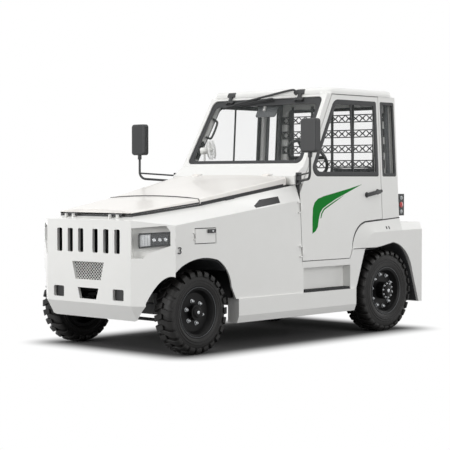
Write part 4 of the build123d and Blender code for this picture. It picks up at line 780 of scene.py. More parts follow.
    @classmethod
    def copies(cls, piece: bpy.types.Object, places: list[Matrix]) -> bpy.types.Object:
        """Copy a modelled piece to several places, each with its own mesh, and join the copies.

        Args:
            piece: Object modelled in local millimetres.
            places: Matrix of each copy.

        Returns:
            The joined object.
        """
        made = []
        for place in places:
            twin = piece.copy()
            twin.data = piece.data.copy()
            bpy.context.scene.collection.objects.link(twin)
            twin.data.transform(place)
            made.append(twin)
        bpy.data.objects.remove(piece)
        return cls.join(made)

    @classmethod
    def nut(cls, radius: float, height: float, sides: int = 6) -> bpy.types.Object:
        """Nut with a washer below and a stud end above, standing on local z = 0.

        Args:
            radius: Corner radius in millimetres.
            height: Height in millimetres.
            sides: Number of flats.

        Returns:
            The new object.
        """
        cls.clear()
        middle = (0, 0, height / 2)
        bpy.ops.mesh.primitive_cylinder_add(vertices=sides, radius=radius, depth=height, location=middle)
        piece = bpy.context.object
        cls.bake_place(piece, IN_PLACE)
        bpy.ops.object.mode_set(mode="EDIT")
        bpy.ops.mesh.select_mode(type="FACE")
        bpy.ops.object.mode_set(mode="OBJECT")
        for face in piece.data.polygons:
            face.select = face.normal.z > 0.9
        bpy.ops.object.mode_set(mode="EDIT")
        bpy.ops.mesh.inset(thickness=radius * 0.3, depth=radius * 0.15)
        bpy.ops.mesh.inset(thickness=radius * 0.12, depth=radius * 0.45)
        bpy.ops.mesh.select_all(action="DESELECT")
        bpy.ops.mesh.primitive_cylinder_add(
            vertices=20, radius=radius * 1.25, depth=height * 0.2, location=(0, 0, height * 0.1)
        )
        bpy.ops.object.mode_set(mode="OBJECT")
        return piece

    @classmethod
    def join(cls, pieces: list[bpy.types.Object]) -> bpy.types.Object:
        """Join objects, each with its place in its mesh.

        Args:
            pieces: Objects to join.

        Returns:
            The first of them, which holds all.
        """
        cls.clear()
        for piece in pieces:
            piece.select_set(True)
        bpy.context.view_layer.objects.active = pieces[0]
        bpy.ops.object.join()
        return pieces[0]


@dataclass
class Wheel:
    """Dress of one wheel, in millimetres: nuts, hub cap, rim edge ring with a painted highlight and lugged
    tyre.
    """

    name: str
    body: str
    side: Side
    centre: Point3
    lip_radius: float
    lip_out: float
    nut_count: int
    nut_circle: float
    disc_out: float
    cap_radius: float
    cap_out: float
    radius: float
    wall: float
    lug_count: int
    nut_radius: float = 13.0
    lug_depth: float = 17.0
    lug_reach: float = 50.0
    lug_proud: float = 8.0
    lug_share: float = 0.64
    lug_slant: float = 0.32
    lug_taper: float = 0.28
    hub_bolts: int = 0
    hub_bolt_circle: float = 0.0
    hub_bolt_radius: float = 6.5
    round_steps: int = 72

    def place(self, out: float, turn: float = 0.0, radius: float = 0.0) -> Matrix:
        """Matrix of a spot on the wheel's outer face.

        Args:
            out: Distance outwards from the wheel's middle.
            turn: Angle round the axle in radians.
            radius: Distance from the axle.

        Returns:
            Placing matrix with local z outwards.
        """
        s = self.side.value
        origin = (
            self.centre[0] + radius * math.cos(turn),
            self.centre[1] + s * out,
            self.centre[2] + radius * math.sin(turn),
        )
        return basis(origin, X_AXIS, Z_AXIS, s * Y_AXIS)

    def build(self) -> None:
        """Model and fit every piece of this wheel."""
        self.fit_nuts()
        self.fit_cap()
        self.fit_lip()
        self.fit_tyre()

    def fit_nuts(self) -> None:
        """Ring of wheel nuts, and the small bolts round the hub where there are any."""
        rows = (
            ("nuts", self.nut_count, self.nut_circle, self.nut_radius, self.disc_out),
            ("hub_bolts", self.hub_bolts, self.hub_bolt_circle, self.hub_bolt_radius, self.cap_out),
        )
        for word, count, circle, radius, out in rows:
            if not count:
                continue
            turns = [2 * math.pi * (number + 0.25) / count for number in range(count)]
            spots = [self.place(out, turn, circle) for turn in turns]
            group = Bench.copies(Bench.nut(radius, radius * 1.2), spots)
            name = f"{self.name}_{word}"
            Bench.settle(group, name, IN_PLACE, ZINC_STEEL, self.body, Slot.STEEL, bevel=0.4)

    def fit_cap(self) -> None:
        """Stepped hub cap with a bright centre."""
        r = self.cap_radius
        place = self.place(self.cap_out)
        profile = [(0, 0), (r * 1.12, 0), (r * 1.12, 4), (r, 6), (r * 0.92, 12)]
        profile += [(r * 0.5, 15), (r * 0.45, 11), (0, 11)]
        cap = Bench.lathe(profile)
        Bench.settle(cap, f"{self.name}_hub_cap", place, RIM_ENAMEL, self.body, Slot.BLACK, bevel=0.8)
        stub = Bench.lathe([(0, 11), (r * 0.36, 11), (r * 0.36, 15), (r * 0.2, 17), (0, 17)], 32)
        Bench.settle(stub, f"{self.name}_hub_stub", place, ZINC_STEEL, self.body, Slot.STEEL, bevel=0.5)

    def fit_lip(self) -> None:
        """Grey ring on the rim flange's edge: painted highlight."""
        r = self.lip_radius
        lip = Bench.lathe([(r - 4.0, 0), (r + 1.0, 0), (r + 0.2, 2.0), (r - 2.8, 2.0)], self.round_steps)
        place = self.place(self.lip_out)
        Bench.settle(lip, f"{self.name}_lip", place, RIM_EDGE_HIGHLIGHT, self.body, Slot.STEEL, bevel=0.4)

    def fit_tyre(self) -> None:
        """Lugged tyre: carcass with sidewall ribs, and a staggered row of lugs on each shoulder."""
        r, wall, bead, depth = self.radius, self.wall, self.lip_radius + 2, self.lug_depth
        mid = (bead + r - self.lug_reach) / 2
        half = [(bead, wall - 30), (bead + 4, wall - 9), (bead + 12, wall - 3), (bead + 26, wall)]
        for rib in (mid - 10, mid + 10):
            half += [(rib - 5, wall), (rib - 2, wall + 3), (rib + 2, wall + 3), (rib + 5, wall)]
        half += [(r - 62, wall - 1), (r - 36, wall - 8), (r - depth - 4, wall - 32), (r - depth, 12)]
        whole = half + [(radius, -height) for radius, height in reversed(half)]
        carcass = Bench.bake_place(Bench.lathe(whole, self.round_steps), self.place(0))
        pitch = 2 * math.pi / self.lug_count
        lugs = []
        for row, turned in ((1, 0.0), (-1, 0.5)):
            spins = [Matrix.Rotation(pitch * (number + turned), 4, "Z") for number in range(self.lug_count)]
            lugs.append(Bench.copies(self.lug(row), [self.place(0) @ spin for spin in spins]))
        tyre = Bench.join([carcass, *lugs])
        Bench.settle(tyre, f"{self.name}_lugged_tyre", IN_PLACE, TYRE_RUBBER, self.body, Slot.TYRE)
        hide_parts(f"{self.name}_tyre")

    def lug(self, row: int) -> bpy.types.Object:
        """One tread lug, wrapped from the crown over the shoulder and slanted like a chevron.

        Args:
            row: 1 for the outer shoulder, -1 for the inner one.

        Returns:
            The lug in the wheel's local frame, its middle on local x.
        """
        r, edge, reach = self.radius, self.wall + self.lug_proud, self.lug_reach
        section = [(-5, r - self.lug_depth - 6), (-5, r - 1.5), (edge - 34, r - 3), (edge - 12, r - 11)]
        section += [(edge, r - 27), (edge - 1, r - reach), (edge - 16, r - reach - 4), (edge - 30, r - 34)]
        width = 2 * math.pi * r / self.lug_count * self.lug_share
        piece = Bench.plate(section, width)
        bpy.ops.object.mode_set(mode="EDIT")
        bpy.ops.mesh.select_all(action="SELECT")
        bpy.ops.mesh.bevel(offset=2.5, segments=1, affect="EDGES")
        bpy.ops.object.mode_set(mode="OBJECT")
        for vertex in piece.data.vertices:
            across, radius, along = vertex.co
            taper = 1 - self.lug_taper + self.lug_taper * max(across, 0) / edge
            turn = ((along - width / 2) * taper + self.lug_slant * (edge - across)) / r
            vertex.co = (radius * math.cos(turn), radius * math.sin(turn), row * across)
        return piece


@dataclass
class Seals:
    """Rubber round the panes, and dark strips round the lids that paint the shade of their gaps, in
    millimetres.
    """

    line: tuple[Point3, ...] = ((168, 641, 1253.7), (1005, 506, 1112), (1631, 406, 1036))
    lid_rear: Point3 = (1012, 504.9, 1112.8)
    hood_ends: tuple[Point3, Point3] = ((180, 639.2, 1251.7), (998, 507.1, 1113.2))
    strip: tuple[float, float] = (-6.0, 14.5)
    strip_width: float = 26.0
    # Heights of the dark band on the lids' lower edge: painted shade above the shut line
    edging: tuple[float, float] = (16.2, 28.0)
    edging_depth: float = 1.5
    bulb_end: Point3 = (110.5, 600, 1300)
    bulb_radius: float = 4.5
    pane_foot: float = 26.0
    pane_head: float = 24.0
    pane_side: float = 38.0
    pane_radius: float = 54.0
    border_side: float = 48.0
    border_head: float = 64.0
    border_foot: float = 36.0
    gasket: float = 40.0
    slack: float = 0.6
    proud: float = 0.2
    sill: float = 1340.0
    head: float = 1985.0
    pillar: tuple[float, float] = (46.0, 50.0)
    door_rear: float = -1010.0
    door_radii: tuple[float, ...] = (72, 18, 18, 96)
    quarter_x: tuple[float, float] = (-1063.0, -1262.0)
    quarter_radius: float = 16.0
    rear_half: float = 545.0
    rear_z: tuple[float, float] = (1330.0, 1960.0)
    rear_gasket: float = 30.0

    def build(self) -> None:
        """Model and fit every seal and every strip of painted gap shade."""
        self.hood_line()
        self.lid_edges()
        self.cowl_gap()
        self.screen_border()
        self.window_frames()

    def hood_line(self) -> None:
        """One dark strip in the shut line, round the hood and front lid: painted shadow of the gap."""
        low, high = self.strip
        corners = [(-1, low), (-1, high), (-self.strip_width, high), (-self.strip_width, low)]
        seal = Bench.loft(self.around(self.line, corners))
        Bench.settle(seal, "hood_seal", WORLD, SEAL_RUBBER_AND_GAP_SHADE, bevel=2.0)

    @staticmethod
    def around(route: Sequence[Point3], corners: list[Point2]) -> list[list[Point3]]:
        """Sections of a bar along the left of the hood line, over the front and back on the right.

        Args:
            route: Points of the hood line on the left, from rear to front.
            corners: Section as distances outwards and upwards from the line.

        Returns:
            Sections in order.
        """
        sections = []
        whole = [*route, *((x, -y, z) for x, y, z in reversed(route))]
        for index, (x, y, z) in enumerate(whole):
            front = index in (len(route) - 1, len(route))
            side = 1 if y > 0 else -1
            sections.append([(x + (out if front else 0), y + side * out, z + up) for out, up in corners])
        return sections

    def lid_edges(self) -> None:
        """Dark band along the foot of the front lid and the hood: painted shade on their lower edge, above
        the shut line.
        """
        low, high = self.edging
        back = -self.edging_depth
        corners = [(back, low), (0, low), (0, high), (back, high)]
        front = Bench.loft(self.around((self.lid_rear, self.line[-1]), corners))
        Bench.settle(front, "lid_edging", WORLD, SEAL_RUBBER_AND_GAP_SHADE, Body.LID, bevel=0.3)
        for side in Side:
            rows = []
            for x, y, z in self.hood_ends:
                rows.append([(x, side.value * (y + out), z + up) for out, up in corners])
            name = f"hood_edging_{side.word}"
            Bench.settle(Bench.loft(rows), name, WORLD, SEAL_RUBBER_AND_GAP_SHADE, Body.HOOD, bevel=0.3)

    def cowl_gap(self) -> None:
        """Dark rod on the cowl, in the gap that the hood's rear edge closes against: painted shadow of the
        gap.
        """
        x, y, z = self.bulb_end
        shade_rod = Bench.rod([(x, -y, z), (x, y, z)], self.bulb_radius, smooth=False)
        Bench.settle(shade_rod, "cowl_seal", WORLD, SEAL_RUBBER_AND_GAP_SHADE)

    def pane_corners(self) -> list[Point2]:
        """Corners of the windscreen opening.

        Returns:
            Corners in the plane of the screen, from the foot.
        """
        taper = (SCREEN_FOOT_HALF - SCREEN_TOP_HALF) / SCREEN_HEIGHT
        low, high = self.pane_foot, SCREEN_HEIGHT - self.pane_head
        wide = SCREEN_FOOT_HALF - low * taper - self.pane_side
        narrow = SCREEN_FOOT_HALF - high * taper - self.pane_side
        return [(-wide, low), (wide, low), (narrow, high), (-narrow, high)]

    def screen_border(self) -> None:
        """Black band fired on the edge of the windscreen, deepest along its head."""
        corners = self.pane_corners()
        outer = rounded(inset(corners, self.slack), self.pane_radius)
        sides = [self.border_side, self.border_foot, self.border_side, self.border_head]
        inner = rounded(inset(corners, sides), self.pane_radius * 0.9)
        place = screen(self.proud - PANE_DEPTH)
        Bench.settle(Bench.ring(outer, inner, 3.0), "screen_border", place, SEAL_RUBBER_AND_GAP_SHADE, bevel=0.8)

    def window_frames(self) -> None:
        """Dark frames of the door windows, quarter panes and rear window."""
        width, depth = self.pillar
        foot_x = SCREEN_ORIGIN[0] - depth * math.cos(RAKE)
        foot_z = SCREEN_ORIGIN[2] - depth * math.sin(RAKE)
        back = width / math.cos(RAKE)
        low_x, high_x = (foot_x - (z - foot_z) * math.tan(RAKE) - back for z in (self.sill, self.head))
        door = [(low_x, self.sill), (self.door_rear, self.sill)]
        door += [(self.door_rear, self.head), (high_x, self.head)]
        front, rear = self.quarter_x
        quarter = [(front, self.sill), (rear, self.sill), (rear, self.head), (front, self.head)]
        for side in Side:
            place = cab_side(side, self.proud - PANE_DEPTH)
            rows = (
                ("door_window", door, side.door, list(self.door_radii), self.gasket),
                ("quarter_window", quarter, Body.CHASSIS, [self.quarter_radius] * 4, self.gasket * 0.7),
            )
            for word, corners, body, radii, wide in rows:
                flat = on_side(corners)
                outer = rounded(inset(flat, self.slack), radii)
                inner = rounded(inset(flat, wide), [max(r - wide * 0.6, 6.0) for r in radii])
                frame = Bench.ring(outer, inner, PANE_DEPTH)
                Bench.settle(frame, f"{word}_{side.word}", place, SEAL_RUBBER_AND_GAP_SHADE, body, bevel=1.2)
        pane = box_outline((-self.rear_half, self.rear_z[0]), (self.rear_half, self.rear_z[1]))
        outer = rounded(inset(pane, self.slack), 34)
        frame = Bench.ring(outer, rounded(inset(pane, self.rear_gasket), 22), PANE_DEPTH)
        place = facing_back(CAB_REAR_X + PANE_DEPTH - self.proud)
        Bench.settle(frame, "rear_window_frame", place, SEAL_RUBBER_AND_GAP_SHADE, bevel=1.2)


@dataclass
class DoorDress:
    """Livery stripe, pull handle, dark edging that paints the shut line's shade, sliding-pane bar and inner
    lining of a door, in millimetres.
    """

    side: Side
    # Side view points (x, z) round the broad stripe and the thin one below it
    stripe: tuple[Point2, ...] = (
        (-770, 1274), (-601, 1240), (-417, 1207), (-255, 1179), (-176, 1158), (-129, 1127),
        (-105, 1083), (-93, 995), (-86, 873), (-129, 894), (-158, 927), (-172, 982),
        (-193, 1037), (-231, 1077), (-296, 1107), (-414, 1155), (-562, 1204),
    )
    pinstripe: tuple[Point2, ...] = (
        (-520, 1183), (-414, 1146), (-321, 1108), (-243, 1074), (-208, 1036), (-195, 997),
        (-207, 997), (-220, 1031), (-252, 1065), (-326, 1098), (-420, 1138),
    )
    film: float = 0.5
    # Side view points along the door's rim, from the front hinge round its foot to the rear post
    rim: tuple[Point2, ...] = (
        (51.4, 1318), (51.4, 655.6), (-559.5, 655.6), (-561.5, 667), (-600.7, 740), (-612.5, 803),
        (-635.5, 853), (-669.5, 896.5), (-714.5, 931), (-789.5, 962.4), (-1036.4, 976), (-1036.4, 1985),
    )
    # Width and heights of the dark band round the rim: painted shade of the shut line
    edging: float = 2.6
    edging_z: tuple[float, float] = (-27.0, -3.0)
    lining: tuple[Point2, ...] = ((-560, 700), (0, 700), (0, 1300), (-980, 1300), (-980, 1010), (-640, 960))
    lining_thickness: float = 8.0
    skin: float = 45.0
    bar_x: float = -660.0
    bar_half: float = 8.0
    bar_z: tuple[float, float] = (1362.0, 1962.0)
    handle_x: float = -905.0
    handle_z: float = 1196.0
    handle_half: Point2 = (100.0, 16.5)
    handle_rise: float = 13.0
    handle_tilt: float = math.radians(9)

    def build(self) -> None:
        """Model and fit every piece of this door."""
        self.lay_stripes()
        self.fit_handle()
        self.edge_door()
        self.fit_bar()
        self.fit_lining()

    def fit(self, piece: bpy.types.Object, word: str, out: float, finish: Finish, **options) -> None:
        """Settle a piece on this door's plane.

        Args:
            piece: Object modelled in the plane of the cab side.
            word: Piece name without its side.
            out: Distance outwards from the door's face.
            finish: Surface finish.
            options: Slot and bevel, where they aren't the usual ones.
        """
        place = cab_side(self.side, out)
        Bench.settle(piece, f"{word}_{self.side.word}", place, finish, self.side.door, **options)

    def lay_stripes(self) -> None:
        """Cut the stripes from film and lay them on the door."""
        for word, points in (("stripe", self.stripe), ("pinstripe", self.pinstripe)):
            self.fit(Bench.plate(on_side(points), self.film), word, 0.05, GREEN_VINYL, slot=Slot.WHITE)

    def fit_handle(self) -> None:
        """Bar handle on two feet with a lock barrel, in place of the plain grip."""
        up = (self.handle_z - CAB_SIDE_ORIGIN[2]) / math.cos(LEAN)
        turn = Matrix.Translation((self.handle_x, up, 0)) @ Matrix.Rotation(-self.handle_tilt, 4, "Z")
        half, high = self.handle_half
        grip = Bench.plate(rounded(box_outline((-half, -high), (half, high)), 15), self.handle_rise)
        Bench.shift(grip, z=self.handle_rise)
        feet = []
        for x in (22 - half, half - 22):
            foot = Bench.lathe([(0, 0), (24, 0), (24, 5), (16, 9), (16, 16), (0, 16)], 24)
            feet.append(Bench.shift(foot, x))
        lock = Bench.shift(Bench.lathe([(0, 0), (14, 0), (14, 5), (11, 7), (0, 7)], 24), -half - 34, -2)
        handle = Bench.join([grip, *feet, lock])
        place = cab_side(self.side) @ turn
        Bench.settle(handle, f"handle_{self.side.word}", place, BLACK_PLASTIC, self.side.door, bevel=1.5)
        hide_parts(f"door_handle_{self.side.word}")

    def edge_door(self) -> None:
        """Dark band round the door's rim, set back from its face: painted shade, so that the shut line reads
        dark.
        """
        low, high = self.edging_z
        self.fit(Bench.band(on_side(self.rim), -self.edging, high - low), "door_edging", low, SEAL_RUBBER_AND_GAP_SHADE)

    def fit_bar(self) -> None:
        """Upright edge of the sliding pane."""
        rear, front = self.bar_x - self.bar_half, self.bar_x + self.bar_half
        low, high = on_side([(rear, self.bar_z[0]), (front, self.bar_z[1])])
        self.fit(Bench.plate(box_outline(low, high), 9), "pane_bar", 0.1 - PANE_DEPTH, SEAL_RUBBER_AND_GAP_SHADE, bevel=1)

    def fit_lining(self) -> None:
        """Moulded lining on the door's inner face."""
        lining = Bench.plate(rounded(on_side(self.lining), 30, 5), self.lining_thickness)
        self.fit(lining, "door_lining", -self.skin - self.lining_thickness, GREY_PLASTIC_AND_SHADE, bevel=2.5)


@dataclass
class Nose:
    """Lamps, grille mesh, radiator, seams and small fittings of the front end, in millimetres."""

    lamp_face: tuple[Point2, ...] = ((52, 919), (294, 932), (294, 832), (52, 805))
    lamp_split: float = 140.0
    lens_depth: float = 22.0
    pocket_depth: float = 62.0
    reflector_back: float = 12.0
    facet_count: int = 4
    facet_pitch: float = 21.0
    bowl_pitch: float = 43.0
    bowl_z: float = 871.0
    mesh_x: float = 1686.5
    mesh_foot: Point2 = (143.0, 557.0)
    mesh_head: Point2 = (180.0, 692.0)
    mesh_pitch: Point2 = (30.0, 26.0)
    mesh_strand: float = 2.3
    boot_centre: Point3 = (1648.0, 250.0, 1050.0)
    boot_radii: Point2 = (11.0, 13.0)
    boot_length: float = 150.0
    seam_y: tuple[float, ...] = (502, 380, 250, 125, 0, -125, -250, -380, -502)
    fin_count: int = 39
    fin_pitch: float = 20.0

    def build(self) -> None:
        """Model and fit every piece of the nose."""
        for side in Side:
            self.fit_lamp(side)
        self.fit_mesh()
        self.fit_boots()
        self.fit_seam()
        self.fit_backing()
        self.fit_hook()
        self.fit_flap_latch()
        self.fit_hood_latches()

    def lamp_part(self, low: float, high: float, trim: float | list[float]) -> list[Point2]:
        """Part of the lamp's face between two distances along the corner, trimmed at its edges.

        Args:
            low: Start along the corner.
            high: End along the corner.
            trim: Distance that every edge moves in, or one each for start, top, end and foot.

        Returns:
            Corners of the part.
        """
        (u0, top0), (u1, top1), (_, low1), (_, low0) = self.lamp_face

        def edge(u: float, a: float, b: float) -> float:
            """Height at u of the line from a to b."""
            return a + (b - a) * (u - u0) / (u1 - u0)

        corners = [
            (low, edge(low, top0, top1)),
            (high, edge(high, top0, top1)),
            (high, edge(high, low0, low1)),
            (low, edge(low, low0, low1)),
        ]
        return inset(corners, trim)

    def fit_lamp(self, side: Side) -> None:
        """Headlamp: housing, dark frame, stepped reflector with a painted reflection, dark mask, three
        bowls, clear cover.

        Args:
            side: Left or right.
        """
        left, right = self.lamp_face[0][0], self.lamp_face[1][0]
        word = side.word
        back = chamfer(side, -self.lens_depth - self.reflector_back)
        depth = self.pocket_depth - self.lens_depth - self.reflector_back
        housing = Bench.plate(self.lamp_part(left, right, 0.5), depth)
        pocket = chamfer(side, 0.5 - self.pocket_depth)
        made = Bench.settle(housing, f"lamp_housing_{word}", pocket, BLACK_PLASTIC, bevel=2)
        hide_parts("headlamps")
        outer = rounded(self.lamp_part(left, right, 0.5), 14)
        frame = Bench.ring(outer, rounded(self.lamp_part(left, right, 11), 10), 15)
        place = chamfer(side, -self.lens_depth - 14)
        Bench.settle(frame, f"lamp_frame_{word}", place, SMOKED_LENS, slot=Slot.LAMP, bevel=2)
        steps = []
        for number in range(self.facet_count):
            start = left + 8 + number * self.facet_pitch
            facet = self.lamp_part(start, start + self.facet_pitch - 1, [0.5, 12, 0.5, 12])
            steps.append(Bench.plate(facet, 3 + 2 * (number % 2)))
        reflector = Bench.join(steps)
        Bench.settle(reflector, f"lamp_reflector_{word}", back, REFLECTOR_PAINTED_SHINE, slot=Slot.LAMP, bevel=1.2)
        mask = Bench.plate(rounded(self.lamp_part(self.lamp_split, right - 8, 9), 9), 4)
        Bench.settle(mask, f"lamp_mask_{word}", back, SMOKED_LENS, slot=Slot.LAMP, bevel=1.5)
        bowls = []
        for number in range(3):
            bowl = Bench.lathe([(0, 2), (8, 2), (11, 6), (13, 6), (13, 0), (0, 0)], 32)
            along = self.lamp_split + 31 + number * self.bowl_pitch
            bowls.append(Bench.shift(bowl, along, self.bowl_z + number * 2, 4))
        Bench.settle(Bench.join(bowls), f"lamp_bowls_{word}", back, MIRROR_CHROME, slot=Slot.LAMP, bevel=0.6)
        cover = Bench.plate(rounded(self.lamp_part(left, right, 7), 10), 2)
        place = chamfer(side, -self.lens_depth)
        Bench.settle(cover, f"lamp_cover_{word}", place, CLEAR_LENS, slot=Slot.LAMP, bevel=0.6)

    def fit_mesh(self) -> None:
        """Diamond mesh of crossed strands in the nose opening, in place of the cut plate."""
        (low_half, low_z), (top_half, top_z) = self.mesh_foot, self.mesh_head
        slope = self.mesh_pitch[1] / self.mesh_pitch[0]
        spread = (top_half - low_half) / (top_z - low_z)
        strands = []
        for way in (-1, 1):
            for number in range(-14, 15):
                start = number * self.mesh_pitch[0]
                inside = []
                for step in range(int(top_z - low_z) + 1):
                    y = start + way * (step - (top_z - low_z) / 2) / slope
                    if abs(y) <= low_half + spread * step:
                        inside.append((self.mesh_x + way * 1.2, y, low_z + step))
                if len(inside) > 8:
                    strands.append(Bench.rod([inside[0], inside[-1]], self.mesh_strand, smooth=False))
        mesh = Bench.join(strands)
        Bench.settle(mesh, "grille_mesh", WORLD, WIRE_STEEL, slot=Slot.STEEL)
        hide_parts("nose_mesh")

    def fit_boots(self) -> None:
        """Black part shells over the front lid's hinge barrels: painted shade, so that the line under the
        lid's front reads dark.
        """
        x, y, z = self.boot_centre
        turns = [math.radians(angle) for angle in range(-95, 76, 10)]
        near, far = ([(r * math.cos(a), r * math.sin(a)) for a in turns] for r in self.boot_radii)
        for side in Side:
            shell = Bench.plate(far + near[::-1], self.boot_length)
            place = basis((x, side.value * y + self.boot_length / 2, z), X_AXIS, Z_AXIS, -Y_AXIS)
            Bench.settle(shell, f"lid_hinge_boot_{side.word}", place, SEAL_RUBBER_AND_GAP_SHADE, bevel=0.5)

    def fit_seam(self) -> None:
        """Dark strip along the rear edge of the front lid, at its seam with the hood: painted shadow of the
        step.
        """
        sections = []
        for y in self.seam_y:
            top = 1168 + 18 * (1 - (y / 504) ** 2) - (3 if abs(y) > 500 else 0)
            rows = []
            for height, back in ((top - 30, 0), (top + 4.5, 0), (top + 4.5, -4), (top - 30, -4)):
                rows.append((1010 + (height - 1112) * 0.19 + back, y, height))
            sections.append(rows)
        Bench.settle(Bench.loft(sections), "lid_seam_lip", WORLD, SEAL_RUBBER_AND_GAP_SHADE, Body.LID, bevel=0.6)

    def fit_backing(self) -> None:
        """Dark plate behind the mesh, radiator behind the slots, bracket behind one bumper hole."""
        plate = Bench.plate([(-186, 548), (186, 548), (192, 704), (-192, 704)], 3)
        Bench.settle(plate, "mesh_backing", facing_front(1678), BLACK_POWDER, slot=Slot.BLACK, bevel=0.8)
        parts = [Bench.plate(box_outline((-400, 742), (400, 962)), 22)]
        for number in range(self.fin_count):
            y = -390 + number * self.fin_pitch
            parts.append(Bench.block((y, 748, 22), (y + 5, 956, 28), taper=1))
        radiator = Bench.join(parts)
        Bench.settle(radiator, "radiator", facing_front(1620), BLACK_POWDER, slot=Slot.BLACK, bevel=0.6)
        bracket = Bench.plate(rounded(box_outline((288, 405), (400, 505)), 8), 4)
        Bench.settle(bracket, "tow_bracket", facing_front(1645), PALE_PLASTIC, slot=Slot.STEEL, bevel=1)

    @staticmethod
    def fit_hook() -> None:
        """Small double hook on the left side of the nose."""
        y = 751.5
        path = [(1489, y, 812), (1478, y + 9, 818), (1466, y + 9, 808), (1474, y + 4, 796)]
        path += [(1466, y + 9, 784), (1478, y + 9, 768), (1491, y, 776)]
        Bench.settle(Bench.rod(path, 4.5), "side_hook", WORLD, BLACK_PLASTIC)

    @staticmethod
    def fit_flap_latch() -> None:
        """Black latch with its key barrel at the charging flap's upper rear corner."""
        place = basis((0, 743.2, 0), Vector((1, 0.0023, 0)), Z_AXIS, Y_AXIS)
        latch = Bench.plate(rounded(box_outline((1084, 914), (1170, 944)), 5), 7)
        Bench.settle(latch, "flap_latch", place, BLACK_PLASTIC, Body.FLAP, bevel=1.5)
        barrel = Bench.lathe([(0, 6.5), (8, 6.5), (8, 8.5), (6, 9.5), (3, 9.5), (2.5, 8.5), (0, 8.5)], 28)
        Bench.shift(barrel, 1118, 929)
        Bench.settle(barrel, "flap_key", place, ZINC_STEEL, Body.FLAP, Slot.STEEL, bevel=0.3)

    @staticmethod
    def fit_hood_latches() -> None:
        """Rubber toggle on each side of the hood."""
        for side in Side:
            s = side.value
            along = Vector((892, -s * 144, -151)).normalized()
            outward = Vector((144, s * 892, 0)).normalized()
            place = basis((720, s * 552, 1160), along, outward.cross(along) * -s, outward)
            toggle = Bench.plate(rounded(box_outline((-46, -3), (46, 25)), 8), 5)
            Bench.settle(toggle, f"hood_toggle_{side.word}", place, SEAL_RUBBER_AND_GAP_SHADE, Body.HOOD, bevel=1.5)


